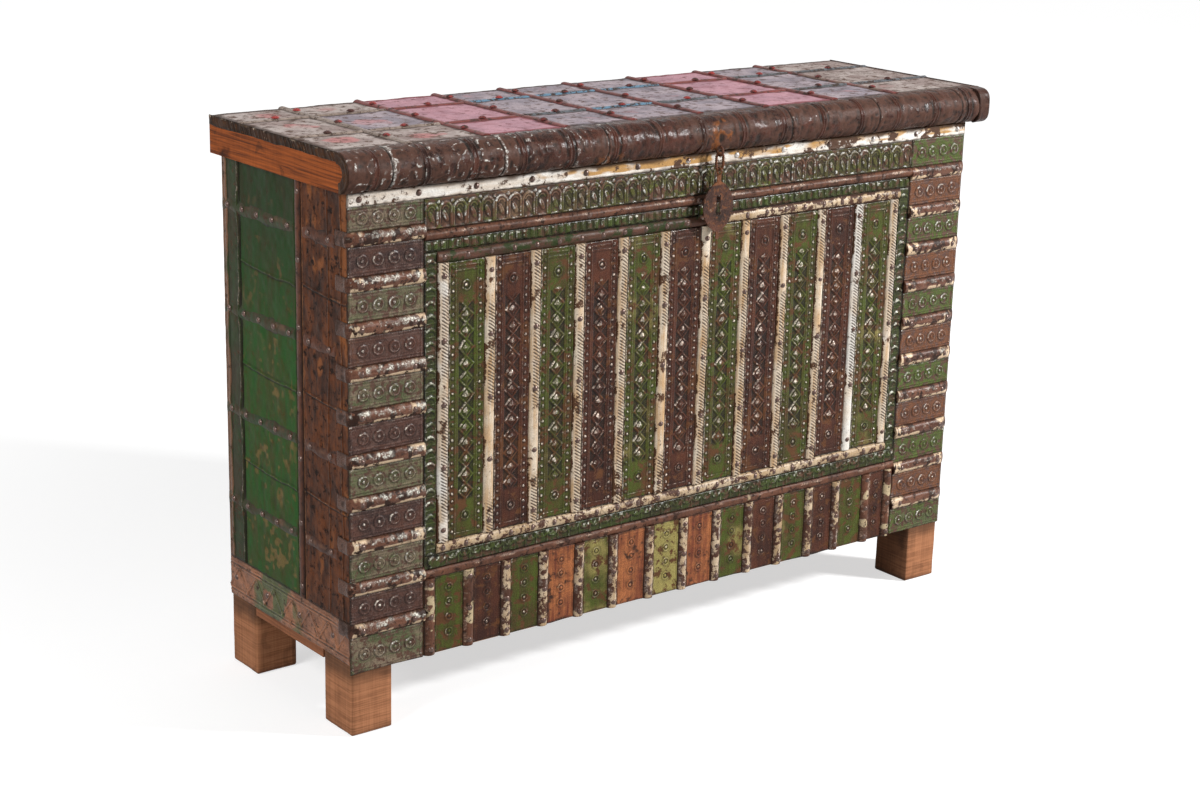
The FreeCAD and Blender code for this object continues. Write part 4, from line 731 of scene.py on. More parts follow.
def strip_hatch(seed):
    """Slanting cuts on the right half of a strip, in runs."""
    def grooves(s, t):
        run = step_up(noise(t, 0, 85, seed), -0.55, 0.3)
        zone = step_up(s, -0.55, 0.25) * step_up(0.88 - s, 0, 0.12)
        wave = np.sin(2 * np.pi * (t / 5.8 + s * 1.3 + 0.2 * noise(t, s * 10, 14, seed + 1)))
        patchy = 0.65 + 0.35 * step_up(noise(t, s * 12, 11, seed + 2), -0.4, 0.6)
        return 1.5 * unit(wave + 0.15) ** 0.6 * zone * run * patchy
    return grooves


def strip_chip(seed):
    def chip(s, t):
        left_edge = step_up(-s, 0.55, 0.35) * flecks(t, s * 8, 42, seed, -0.2, 0.3)
        right_edge = step_up(s, 0.7, 0.25) * flecks(t, s * 8, 34, seed + 7, 0.0, 0.3)
        return 0.6 * left_edge + 0.5 * right_edge + 0.45 * flecks(t, s * 12, 24, seed + 4, 0.35, 0.25)
    return chip


for i in range(STRIPS):
    bar(f"cream_strip_{i + 1}", STRIPES_LOW, STRIPES_HIGH, STRIP_WIDTH, 7.0, "cream_paint", "cream_strips",
        upright=True, step=1.15, around=27, seed=90 + i, wander=1.2,
        centre=STRIPES_LEFT + STRIP_WIDTH / 2 + i * STRIP_PITCH,
        grooves=strip_hatch(500 + i), chip=strip_chip(520 + i), dent=0.5,
        tone=(0.42, 0.15, 0.25, 0.1, 0.2, 0.0, 0.0, 0.0, 0.0, 0.2, 0.6, 0.35)[i])

# Each border is darker at the edge next to its column: painted shadow where the column stands proud.
for name, low, high, gap in (
        ("left", FIELD_LEFT, STRIPES_LEFT, lambda u, v, wide, tall: step_up(4 - u, 0, 2)),
        ("right", STRIPES_RIGHT, FIELD_RIGHT, lambda u, v, wide, tall: step_up(u, wide - 5, 2))):
    plate(f"{name}_border", (low, SCALLOP_HIGH), (high, REED_LOW), on_front, "border_paint", "stripe_borders",
          border_relief, base=1.3, seed=71, gain=1.1, tone=0.25, hollow=gap)


# Front: corner columns

for side, (first, left, right) in COLUMNS.items():
    for place in range(COLUMN_BARS + 1):
        low = first + (place - 1) * COLUMN_PITCH + COLUMN_BAR / 2 if place else BOTTOM
        high = first + place * COLUMN_PITCH - COLUMN_BAR / 2 if place < COLUMN_BARS else RIM_LOW
        colour = "green" if (COLUMN_BARS - place) % 2 == 0 else "brown"
        size, level, gain = (22, -0.2, 0.05) if side == "right" else (44, 0.2, 0.15)
        plate(f"column_{side}_panel_{place + 1}", (left + 0.5, low - 1.5), (right - 0.5, high + 1.5), on_front,
              f"column_{colour}_paint", f"column_{colour}_panels", column_relief, seed=130 + place, gain=0.85,
              tone=((place * 37) % 10) / 22 + 0.6 * (side == "right"),
              chip=patches(size, 330 + place, level, 0.5, gain), wave=1.4 if place == 0 else 0.0)


def column_bar(side, place, centre_z):
    """Half-round bar that runs along a column and turns the corner of the chest."""
    left = side == "left"
    inner, outer, sign = (FIELD_LEFT, LEFT, -1) if left else (FIELD_RIGHT, RIGHT, 1)
    radius, turn_length = 3.0, 34.0
    straight = abs(outer - inner) - radius
    arc = radius * math.pi / 2
    total = straight + arc + turn_length - radius
    run = np.linspace(0, total, round(total / 1.5))
    bend = unit((run - straight) / arc) * math.pi / 2
    along = np.minimum(run, straight) + radius * np.sin(bend)
    flat_x = inner + sign * along
    flat_y = FACE + (radius * (1 - np.cos(bend)) + np.maximum(run - straight - arc, 0))
    s, t = np.meshgrid(np.sin(np.linspace(-math.pi / 2, math.pi / 2, 15)), run, indexing="ij")
    seed = 210 + (0 if left else 40) + place
    height = 9.0 * unit(1 - s * s) ** 0.6
    height = height * (1 - 0.66 * step_up(t, straight - 16, 18)) * (1 - 0.5 * step_up(t, straight + 2, 12))
    height = np.maximum(height + 0.75 * dents(t, s * 13, seed, 1.0) * (1 - s ** 4), 0.1)
    across = centre_z + 0.6 * rough(t, 0, 70, seed + 5) + s * COLUMN_BAR / 2
    points = stacked(inner + sign * (along + height * np.sin(bend)), flat_y - height * np.cos(bend), across)
    low, high = (stacked(flat_x, flat_y, across[row]) for row in (0, -1))
    fields = wear_dirt_and_light(height, 0.35, seed)
    # Painted highlight in flecks along the top side of the bar.
    wear_and_highlight = fields["wear_and_highlight"] + 0.7 * step_up(s, -0.1, 0.3) * step_up(0.8 - s, 0, 0.3) * flecks(
        t, s * 12, 8, seed + 6, -0.1, 0.5)
    fields["wear_and_highlight"] = wear_and_highlight * (1 - 0.8 * step_up(t, straight - 2, 6)) * (1.0 if left else 0.5)
    # Darker along both edges, and painted shade on the part that turns the corner.
    fields["hollow"] = unit(fields["hollow"] * 0.5 + 0.8 * step_up(np.abs(s), 0.8, 0.2)
                            + 0.62 * step_up(t, straight - 2, 8))
    lower_edge = step_up(-s, 0.25 if left else 0.1, 0.4) * flecks(t, s * 9, 18, seed + 7, -0.3, 0.3)
    ends = step_up(t, -1, 2) * (1 - step_up(t, 22, 16)) + step_up(t, straight - 30, 10) * (
        1 - step_up(t, straight, 6))
    flakes = flecks(t, s * 9, 11, seed + 8, -0.1, 0.3)
    share = (0.25 if left else 0.35) * (1 + 1.5 * ((place * 7) % 3 > 0))
    cream = unit(0.95 * lower_edge + share * ends * flakes)
    # Pale flecks along the top side: painted highlight.
    upper_highlight = step_up(s, 0.1, 0.4) * flecks(t, s * 6, 30, seed + 9, -0.3, 0.5)
    fields["tone"] = unit(cream + 0.3 * upper_highlight) * (1 - step_up(t, straight - 4, 5))
    fields["chip"] = 0.4 * flecks(t, s * 12, 16, seed + 10, 0.1, 0.4) - 0.15 * step_up(t, straight - 3, 6)
    if left:
        points, low, high = points[:, ::-1], low[::-1], high[::-1]
        fields = {key: values[:, ::-1] for key, values in fields.items()}
    shell(f"column_{side}_bar_{place + 1}", points, low, high, "bar_paint", "column_bars", fields)


for side, (first, left, right) in COLUMNS.items():
    for place in range(COLUMN_BARS):
        column_bar(side, place, first + place * COLUMN_PITCH)


# Front: bands above and below the stripes

def rim_chip(u, v, wide, tall):
    """Paint lost in patches, more of it towards the right."""
    lost = 0.35 * flecks(u, v, 38, 12, 0.3, 0.3)
    return lost + 0.45 * step_up(u / wide, 0.5, 0.25) * flecks(u, v * 2, 30, 8, 0.05, 0.3)


def rim_gold(u, v, wide, tall):
    """Share of bare gold lacquer, streaky, about the middle and again at the right."""
    along = 1.2 * ridge(u / wide - 0.5, 0.3) + 0.85 * step_up(u / wide, 0.68, 0.15)
    streaks = flecks(u, v * 3, 60, 10, -0.55, 0.6)
    return along * streaks * step_up(v, 4, 4) * (0.75 + 0.35 * noise(u, v * 6, 26, 7))


# Darker along the top of the band, under the roll, and less so at the left end.
def rim_darker_top(u, v, wide, tall):
    return step_up(v + 9 * rough(u, v * 2, 45, 9), 14, 8) * (0.45 + 0.55 * step_up(u / wide, 0.05, 0.15))


plate("rim_sheet", (LEFT, RIM_LOW), (RIGHT, TOP), on_front, "rim_paint", "rim_band", rim_relief, base=1.9,
      depth=0.8, seed=11, wave=1.2, chip=rim_chip, edge=1.2, tone=rim_gold, hollow=rim_darker_top)
plate("arch_sheet", (FIELD_LEFT, ARCH_LOW), (FIELD_RIGHT, RIM_LOW), on_front, "arch_paint", "arch_band",
      arch_relief, base=0.9, seed=13, gain=1.2, chip=patches(80, 14, 0.1, 0.5, 0.3),
      tone=lambda u, v, wide, tall: 0.75 * np.abs(u / wide - 0.58) ** 0.7 - 0.05)
plate("reed_sheet", (FIELD_LEFT, REED_LOW), (FIELD_RIGHT, REED_HIGH), on_front, "border_paint", "reed_band",
      reed_relief, base=1.0, step=1.2, seed=15, gain=0.7, tone=0.2)
plate("scallop_sheet", (FIELD_LEFT, SCALLOP_LOW), (FIELD_RIGHT, SCALLOP_HIGH), on_front, "border_paint",
      "scallop_band", scallop_relief, base=1.2, step=1.2, seed=17, gain=0.8)
bar("round_bar", FIELD_LEFT, FIELD_RIGHT, 18.0, 8.0, "brown_bar_paint", "upper_round_bar", seed=19,
    centre=ROUND_BAR_Z, dent=0.6)
bar("upper_bar_left", STRIPES_LEFT, UPPER_BAR_CHANGE, 20.0, 6.0, "top_bar_paint", "upper_nailed_bar", seed=21,
    centre=UPPER_NAILED_Z)
bar("upper_bar_right", UPPER_BAR_CHANGE, STRIPES_RIGHT, 20.0, 6.0, "chipped_bar_paint", "upper_nailed_bar",
    seed=21, centre=UPPER_NAILED_Z,
    chip=lambda s, t: 0.3 * step_up(np.abs(s) + 0.5 * rough(t, s * 10, 16, 20), 0.6, 0.3))
bar("lower_bar", STRIPES_LEFT, STRIPES_RIGHT, 20.0, 6.0, "chipped_bar_paint", "lower_nailed_bar", seed=23,
    centre=LOWER_NAILED_Z)
bar("ledge", FIELD_LEFT, FIELD_RIGHT, 16.0, 5.5, "brown_bar_paint", "ledge_moulding", seed=25, centre=LEDGE_Z,
    wander=0.6, dent=0.9, power=0.35, tone=lambda s, t: 0.6 * flecks(t, s * 8, 40, 24, 0.25, 0.3))


def edge_chips(i):
    """Paint lost in large flakes, most of all along the edges of a bar."""
    return lambda s, t: 0.4 * step_up(np.abs(s) + 0.5 * rough(t, s * 10, 16, 290 + i), 0.6, 0.3) + 0.25 * flecks(
        t, s * 12, 22, 291 + i, 0.1, 0.3)


def chips(i):
    """Tone that shows the pale undercoat in a few flakes."""
    return lambda s, t: 1.1 * flecks(t, s * 12, 24, 280 + i, 0.12, 0.25)


field = FIELD_RIGHT - FIELD_LEFT
middles = [FIELD_LEFT + share * field for share in LOWER_BAR_SHARES]
for i, middle in enumerate(middles):
    brown = i in (0, 1, 13, 14)
    bar(f"lower_bar_{i + 1}", BOTTOM, LOWER_HIGH, LOWER_BAR, 8.0,
        "brown_bar_paint" if brown else "chipped_bar_paint", "lower_bars", upright=True, seed=240 + i,
        centre=middle, wander=0.8, dent=0.7, tone=chips(i) if brown else 0.0, chip=None if brown else edge_chips(i))
for i, (a, b) in enumerate(zip(middles, middles[1:])):
    colour = LOWER_COLOURS[i]
    plate(f"lower_{colour}_panel_{i + 1}", (a + LOWER_BAR / 2 - 2, BOTTOM), (b - LOWER_BAR / 2 + 2, LOWER_HIGH),
          on_front, f"{colour}_paint", f"lower_{colour}_panels", lower_relief, base=0.9, seed=260 + i,
          tone=(0.1, 0.0, 0.1, 0.0, 0.4, 0.0, 1.1, 0.0, 0.35, 0.0, 0.1, 0.1, 0.2, 0.2)[i], wave=2.2, depth=0.7,
          chip=patches(30, 360 + i, 0.2, 0.4, 0.3))


# Ends

def seams(u, v, wide, tall):
    """Creases across the sheets of one end, about halfway between the straps."""
    total = 0
    for low, high in zip(STRAP_HEIGHTS, STRAP_HEIGHTS[1:]):
        line = v - (low + high) / 2 + SIDE_LOW + 2.5 * noise(u, 0, 40, 77) + 0.05 * u
        total = total + 1.2 * ridge(line - 2.5, 2.6) - ridge(line + 1.0, 1.8)
    return total


def strap_relief(u, v, wide, tall):
    return 2.0 * ridge(v - tall / 2 - 2 * noise(u, 0, 30, 88), 10) + 0.5 * rough(u, v, 12, 99)


def strap_tone(u, v, wide, tall):
    return 0.45 * ridge(v - tall / 2 - 3, 9) * flecks(u, v, 30, 89, -0.5, 0.7)


def base_relief(u, v, wide, tall):
    """Zigzag with a boss in each of its bays, between double lines."""
    cu = nearest(u, 62.0)
    lines = rules(v, 1.8, 9, 15, tall - 9, tall - 15)
    zigzag = ridge(v - 18 - np.abs(cu) * 1.25, 2.4) * (v < tall - 18)
    return 1.1 * lines + 1.3 * zigzag + 1.2 * dome(cu, v - 20, 5) + 0.6 * rough(u, v, 22, 85)


def side_pieces(side, place, flip):
    """Sheets, flat bar and straps of one end, between places counted from front to back."""
    def ahead(u, wide):
        """Distance from the front edge of a sheet."""
        return wide - u if flip < 0 else u

    def corner_relief(u, v, wide, tall):
        d = ahead(u, wide)
        fold = ridge(d - 20 - 2 * noise(v, u, 50, 91), 2.0) + 0.6 * ridge(d - 62 - 3 * noise(v, u, 70, 92), 2.2)
        return seams(u, v, wide, tall) + 1.3 * fold + 0.5 * rough(u, v, 18, 93)

    def edging_relief(u, v, wide, tall):
        d = ahead(u, wide)
        kink = rules(v, 34, *(z - SIDE_LOW for z in STRAP_HEIGHTS))
        return 2.4 * ridge(d - 5 - 5 * kink, 4.0) + 1.4 * ridge(d - 47, 5) + 0.5 * rough(u, v, 22, 94)

    def ochre(u, v, wide, tall):
        slant = rough(1.6 * u, 0.7 * v, 27, 95 + flip) + 0.6 * noise(u, v, 8, 90)
        return (0.66 - 0.3 * v / tall) * step_up(slant, -0.25, 1.0) * step_up((v + 60) % 168, 12, 50)

    def corner_tone(u, v, wide, tall):
        streaks = flecks(u * 2.6, v, 70, 96 + flip, 0.05, 0.5)
        front = step_up(19 - ahead(u, wide), 0, 3) * step_up(noise(v, u, 60, 97), -0.7, 0.9)
        return 0.2 * front + 0.55 * streaks

    def base_tone(u, v, wide, tall):
        return 0.9 * ridge(ahead(u, wide) - 250, 110) * flecks(u, v, 34, 98, -0.4, 0.6)

    def lay(name, front, back, look, node, low=SIDE_LOW, high=TOP, seed=400 + 10 * (flip > 0), **options):
        a, b = (front, back) if flip > 0 else (-back, -front)
        plate(f"{side}_{name}", (a, low), (b, high), place, look, node, seed=seed, **options)

    # The green sheet gets darker towards the top: painted shade under the lid.
    lay("sheet", GREEN_FRONT, GREEN_BACK, "side_green_paint", "side_green_sheets", relief=seams, depth=1.0,
        step=2.0, tone=ochre, hollow=lambda u, v, wide, tall: 0.72 * step_up(v, tall - 420, 420))
    lay("corner", SIDE_FRONT, CORNER_BACK, "rust_paint", "side_corner_sheets", relief=corner_relief, depth=1.1,
        step=1.6, tone=corner_tone)
    lay("edging", GREEN_BACK, SIDE_BACK, "edging_paint", "side_back_edgings", relief=edging_relief, depth=0.9,
        step=1.8, tone=lambda u, v, wide, tall: 0.7 * step_up(ahead(u, wide), 38, 10))
    lay("base", SIDE_FRONT, SIDE_BACK, "base_paint", "side_base_sheets", low=BASE_LOW, high=SIDE_LOW,
        relief=base_relief, depth=1.4, step=1.6, wave=2.0, tone=base_tone)
    lay("flat_bar", FLAT_BAR_FRONT, FLAT_BAR_BACK, "side_bar_paint", "side_flat_bars", base=2.0, depth=0.5,
        step=1.6, tone=0.1, gain=0.6, relief=lambda u, v, wide, tall: 1.6 * ridge(u - wide / 2, wide / 2))
    for i, z in enumerate(STRAP_HEIGHTS):
        for part, front, back, look in (("front", STRAP_FRONT, CORNER_BACK, "side_bar_paint"),
                                        ("back", GREEN_FRONT, SIDE_BACK, "strap_paint")):
            lay(f"strap_{i + 1}_{part}", front, back, look, "side_straps", low=z - 15, high=z + 15, seed=430 + i,
                relief=strap_relief, base=1.0, depth=1.0, step=1.6, edge=6.0, gain=0.8, tone=strap_tone)


side_pieces("left", on_end(WOOD_LEFT, -1), -1)
side_pieces("right", on_end(WOOD_RIGHT, 1), 1)


# Lid: roll over the front edge

def about_nose(x, angle, radius):
    """Point about the axis of the lid's nose. The angle is from the top, towards the front and under."""
    return stacked(x, NOSE_Y - radius * np.sin(angle), NOSE_Z + radius * np.cos(angle))


def on_nose(x, angle, height):
    return about_nose(x, angle, NOSE_RADIUS + height)


# Angle at which the sheath ends under the nose, 14.5 mm in front of its axis
TUCK = math.pi - math.asin(14.5 / (NOSE_RADIUS + ROLL_SKIN))
roll_x = np.linspace(-ROLL_END, ROLL_END, 760)
flange = np.linspace(SHEATH_BACK, NOSE_Y, 8)[:-1]
angles = np.linspace(0, TUCK, 58)
band_places = [LID_LEFT + 54 + i * (LID_RIGHT - LID_LEFT - 108) / (ROLL_BANDS - 1) for i in range(ROLL_BANDS)]


def roll_line(place, arc, i):
    """Where one pair of ridges is as it leans on its way round the roll."""
    return place + 3.5 * noise(arc, 7.0 * i, 45, 600 + i) + (arc - 50) * 0.03


arc_rows = np.concatenate((SHEATH_BACK - flange, SHEATH_BACK - NOSE_Y + angles * (NOSE_RADIUS + ROLL_SKIN)))
x_grid, arc_grid = np.meshgrid(roll_x, arc_rows)
swell = 1.7 + 0.65 * rough(x_grid, arc_grid * 1.2, 36, 31) + 0.6 * noise(x_grid * 1.3, arc_grid, 13, 33)
crease = 1 - np.abs(noise(x_grid + 5 * noise(x_grid, arc_grid, 30, 36), arc_grid * 0.8, 15, 35))
swell = swell + 0.3 * noise(x_grid, arc_grid, 6, 34) + 0.8 * crease ** 4
for i in range(7):
    beside = x_grid - (-640 + i * 214 + 6 * noise(arc_grid, 0, 60, 640 + i))
    swell = swell - 1.4 * ridge(beside, 2.2) + 0.7 * step_up(beside, 1, 3) * ridge(beside - 6, 7)
for i, middle in enumerate(band_places):
    beside = np.abs(x_grid - roll_line(middle, arc_grid, i))
    strength = 0.5 + 0.5 * noise(arc_grid, 0, 30, 50 + i)
    swell = swell - (0.9 * ridge(beside - 9, 4) - 0.35 * ridge(beside - 17, 6)) * strength
# Hole above the hasp: a shallow dent coloured near black, painted shade for its depth.
hole = unit(2 - np.hypot((x_grid - HASP_X + 3) / 4, (arc_grid - 72) / 6))
swell = np.clip(swell - 1.5 * hole, 0.3, 3.0)
split = len(flange)
roll = np.concatenate((stacked(x_grid[:split], flange[:, None], NOSE_Z + NOSE_RADIUS + swell[:split]),
                       on_nose(x_grid[split:], angles[:, None], swell[split:])))
fields = wear_dirt_and_light(swell, 1.3)
orange = flecks(x_grid, arc_grid, 70, 35, 0.05, 0.5)
near_hasp = unit(1.3 - ((x_grid - HASP_X) / 27) ** 2 - ((arc_grid - 78) / 42) ** 2 + 0.5 * rough(
    x_grid, arc_grid, 14, 38))
toward_right = step_up(x_grid, -100, 500)
fields["tone"] = orange * (0.45 * step_up(arc_grid, 62, 35) + 0.3 + 0.25 * toward_right) + 0.9 * near_hasp
fields["chip"] = 0.3 * orange + 0.3 * toward_right + 0.3 * (1 - step_up(x_grid, -600, 420))
# Painted highlight, much stronger towards the left end: a band of glints along the roll.
fields["wear_and_highlight"] = unit(fields["wear_and_highlight"] * (2.7 - 2.35 * step_up(x_grid, -520, 560)))
fields["hollow"] = np.maximum(fields["hollow"], hole)
for middle in band_places:
    fields["hollow"] = np.maximum(fields["hollow"], 0.55 * ridge(x_grid - middle, 13) * (
        0.6 + 0.4 * noise(x_grid, arc_grid, 14, 47)))
shell("lid_roll", roll[::-1], on_nose(roll_x, TUCK, 0), stacked(roll_x, SHEATH_BACK, LID_WOOD_TOP), "roll_paint",
      "lid_roll_sheath", {key: values[::-1] for key, values in fields.items()}, "lid")

across = np.linspace(-6, 6, 15)
x_local, angle_grid = np.meshgrid(across, np.linspace(TUCK, 0.02, 70))
arc = SHEATH_BACK - NOSE_Y + angle_grid * (NOSE_RADIUS + ROLL_SKIN)
for i, place in enumerate(band_places):
    line = place + np.clip(roll_line(place, arc, i) - place, -4, 4)
    gap = 3.2 + noise(arc, 0, 35, 670 + i)
    fold = ridge(x_local - gap, 1.9) + (0.4 + 0.6 * (i % 3 > 0)) * ridge(x_local + gap, 1.7)
    fold = 1.4 * fold * (0.7 + 0.35 * noise(arc, x_local, 16, 660 + i))
    height = 2.2 + np.clip(fold, 0, 1.6) - 1.6 * step_up(np.abs(x_local), 4.8, 1.2)
    fields = wear_dirt_and_light(height, 0.8, i)
    # Painted highlight, stronger on the bands towards the left end, as on the roll.
    fields["wear_and_highlight"] = fields["wear_and_highlight"] * (0.35 + 0.3 * step_up(-300 - place, 0, 200))
    fields["tone"] = 0.25 * step_up(noise(arc, x_local, 40, 680 + i), -0.2, 0.6)
    fields["chip"] = 0.0
    shell(f"roll_band_{i + 1}", on_nose(line + x_local, angle_grid, height), on_nose(line[0] + across, TUCK, 0.3),
          on_nose(line[-1] + across, 0.02, 0.3), "roll_paint", "lid_roll_bands", fields, "lid")


def on_cap(x, angle, height):
    """Point round the cap at the lid's right end, which is squarer than the roll."""
    square = 3.4
    swell = (np.abs(np.sin(angle)) ** square + np.abs(np.cos(angle)) ** square) ** (-1 / square)
    return about_nose(x, angle, NOSE_RADIUS * swell + height)


cap_x = np.linspace(CAP_INNER, CAP_OUTER, 22)
x_grid, angle_grid = np.meshgrid(cap_x, np.linspace(TUCK, 0.0, 70))
height = 2.0 + 0.5 * rough(x_grid, angle_grid * 34, 22, 811) + 0.6 * ridge(x_grid - CAP_INNER - 4, 3)
height = np.clip(height * (0.3 + 0.7 * step_up(CAP_OUTER - x_grid, 0, 2.5)), 0.3, 2.5)
fields = wear_dirt_and_light(height, 1.0, 5)
fields["hollow"] = np.maximum(fields["hollow"], 0.35 + 0.4 * step_up(CAP_INNER + 2.5 - x_grid, 0, 2))
fields["tone"] = 0.3 * flecks(x_grid, angle_grid * 34, 30, 812, 0.0, 0.5)
fields["chip"] = 0.15
shell("roll_end_right", on_cap(x_grid, angle_grid, height), on_cap(cap_x, TUCK, 0), on_cap(cap_x, 0, 0),
      "roll_paint", "lid_right_cap", fields, "lid")

end_angles, end_radii = np.linspace(-0.15, TUCK + 0.25, 90), np.linspace(15.0, NOSE_RADIUS + 2.2, 15)
angle_grid, radius_grid = np.meshgrid(end_angles, end_radii)
turned = angle_grid * 30
folded = 1.1 + 0.9 * ridge(radius_grid - 31, 3.5) + 0.45 * rough(turned, radius_grid, 8, 37)
inner_edge = step_up(radius_grid + 3 * noise(turned, radius_grid, 9, 39), 16, 3)
folded = np.clip(folded * (0.3 + 0.7 * inner_edge), 0.15, 2.3)
fields = wear_dirt_and_light(folded, 0.9)
fields["tone"] = 0.35 * step_up(noise(turned, radius_grid, 14, 41), 0.0, 0.8)
fields["chip"] = 0.0
shell("roll_end_left", about_nose(-LID_END - folded, angle_grid, radius_grid),
      about_nose(-LID_END, end_angles, end_radii[0]), about_nose(-LID_END, end_angles, end_radii[-1]),
      "crinkle_paint", "lid_roll_sheath", fields, "lid")


# Lid: sheets and straps of the top

def worn_spot(seed, share):
    """Rubbed oval near the middle of a sheet."""
    def spot(u, v, wide, tall):
        du = (u - wide * (0.45 + 0.1 * math.sin(seed))) / (wide * 0.24)
        dv = (v - tall * (0.5 + 0.12 * math.cos(seed))) / (tall * 0.2)
        return share * (1.0 - step_up(np.hypot(du, dv) + 0.35 * rough(u, v, 26, seed), 0.75, 0.5))
    return spot


def lid_dirt(row, seed):
    """Dirt along the straps and in spots, and where the sheets meet the roll and the back edge."""
    def grime_and_shade(u, v, wide, tall):
        border = inset(u, v, wide, tall) + 6 * rough(u, v, 26, 712 + seed)
        total = 0.85 * (1 - step_up(border, 8, 9)) + 0.35 * flecks(u, v, 38, 713 + seed, 0.25, 0.5)
        if row == 2:
            total = np.maximum(total, 0.9 * step_up(v + 3 * rough(u, v, 30, 710), tall - 17, 4))
        if row == 0:
            total = np.maximum(total, 0.8 * step_up(14 + 12 * rough(u, v, 34, 711) - v, 0, 10))
        return unit(total)
    return grime_and_shade


strap_lines = [LID_LEFT + share * (LID_RIGHT - LID_LEFT) for share in CROSS_STRAP_SHARES]
columns = [-LID_END, *strap_lines, LID_END]
rows = [SHEATH_BACK, *LONG_STRAPS, LID_BACK]
for c, (a, b) in enumerate(zip(columns, columns[1:])):
    for r, (y0, y1) in enumerate(zip(rows, rows[1:])):
        colour = LID_COLOURS[c]
        pale = colour == "grey" and (c < 2 and (c, r) != (1, 1) or c > 7)
        place = 3 * c + r
        plate(f"lid_{colour}_sheet_{c + 1}_{r + 1}", (a, y0), (b, y1), on_lid,
              "pale_paint" if pale else f"{colour}_paint", f"lid_{colour}_sheets", base=1.5, depth=1.0, step=2.6,
              seed=700 + place, edge=3.0, body="lid", gain=0.9, hollow=lid_dirt(r, place),
              tone=worn_spot(place, 0.0 if colour == "red" else 0.55 if c < 2 else 0.28))
strap = {"place": on_lid, "dent": 0.9, "body": "lid", "step": 2.0, "power": 0.4}
for i, x in enumerate(strap_lines):
    bar(f"lid_cross_strap_{i + 1}", SHEATH_BACK, LID_BACK, 17.0, 5.0,
        "red_strap_paint" if i else "pale_strap_paint", "lid_cross_straps", upright=True, centre=x,
        seed=740 + i, wander=2.2, tone=(0.75, 0.1, 0.0, 0.05, 0.1, 0.0, 0.1, 0.5)[i], **strap)
for r, y in enumerate(LONG_STRAPS):
    for c, (a, b) in enumerate(zip(columns, columns[1:])):
        bar(f"lid_long_strap_{r + 1}_{c + 1}", a + (8 if c else 0), b - (8 if c < 8 else 0), 14.0, 4.6,
            "red_strap_paint" if LID_COLOURS[c] == "red" else "pale_strap_paint" if c < 2 else "slate_paint",
            "lid_long_straps", centre=y, seed=760 + 10 * r + c, wander=1.8,
            tone=0.75 if (r, c) in ((1, 3), (1, 4), (0, 4), (1, 5)) else 0.0, **strap)


# Lid: crinkled left edge and the cap of the right end

def crinkle(u, v, wide, tall):
    shifted = u + 0.5 * v + 6 * noise(u, v, 40, 804)
    pleats = np.maximum(1 - np.abs(noise(shifted, v / 5, 7.5, 801)), 0.8 - np.abs(noise(shifted, v / 3, 17, 802)))
    return 1.3 * unit(pleats) ** 2.5 - 0.6 + 0.6 * rough(u, v, 17, 803)


plate("lid_left_crinkle", (-LID_BACK, CRINKLE_LOW), (-NOSE_Y, LID_SHEET_TOP), on_end(-LID_END, -1), "crinkle_paint",
      "lid_left_edge", crinkle, base=1.1, step=1.2, depth=0.3, seed=805, body="lid", wave=3.5, gain=1.4,
      edge=1.0, tone=lambda u, v, wide, tall: 0.3 * step_up(v, 11, 5))
plate("lid_right_sheet", (NOSE_Y, CAP_LOW), (LID_BACK, LID_SHEET_TOP), on_end(LID_END, 1), "roll_paint",
      "lid_right_cap", lambda u, v, wide, tall: 0.8 * ridge(tall - 6 - v + 2.5 * np.sin(u / 13), 2.5),
      base=1.0, step=2.2, depth=0.6, seed=807, body="lid", edge=3.0, tone=0.2)


# Posts

def axis_places(low, high, radius, step):
    inner = np.linspace(low + radius, high - radius, max(2, round((high - low - 2 * radius) / step) + 1))
    return np.concatenate(([low, low + radius * 0.4], inner, [high - radius * 0.4, high]))


def block(name, low, high, look, node, seed, grime_and_shade, radius=4.5, step=8.0, depth=1.0):
    """Sawn post with rounded, uneven edges."""
    axes = [axis_places(a, b, min(radius, (b - a) / 3), step) for a, b in zip(low, high)]
    points, quads, offset = [], [], 0
    for axis in range(3):
        one, two = [(1, 2), (2, 0), (0, 1)][axis]
        for end in (0, -1):
            p, q = np.meshgrid(axes[one], axes[two])
            face = np.empty((*p.shape, 3))
            face[..., one], face[..., two], face[..., axis] = p, q, axes[axis][end]
            quad = cells(offset + np.arange(p.size).reshape(p.shape))
            quads.append(quad if end else quad[:, ::-1])
            points.append(face.reshape(-1, 3))
            offset += p.size
    points, quads = np.concatenate(points), np.concatenate(quads)
    _, first, index = np.unique(np.round(points, 4), axis=0, return_index=True, return_inverse=True)
    points, quads = points[first], index.ravel()[quads]
    low, high = np.array(low, float), np.array(high, float)
    radii = np.minimum(radius, (high - low) / 3)
    core = np.clip(points, low + radii, high - radii)
    out = (points - core) / radii
    length = np.maximum(np.linalg.norm(out, axis=1, keepdims=True), 1e-9)
    corner = length[:, 0] - 1.05
    shaped = core + out / length * radii * np.minimum(length, 1)
    sway = rough(points[:, 0] + points[:, 2] * 0.7, points[:, 1] + points[:, 2] * 0.3, 55, seed)
    shaped = shaped - (out / length) * (depth * (0.5 + 0.5 * sway) * (1 + 1.5 * (length[:, 0] > 1.05)))[:, None]
    fields = {"wear_and_highlight": unit(corner) * 0.5, "hollow": grime_and_shade(shaped)}
    make_mesh(name, shaped, quads, [], len(quads), fields, look, "chest", node)


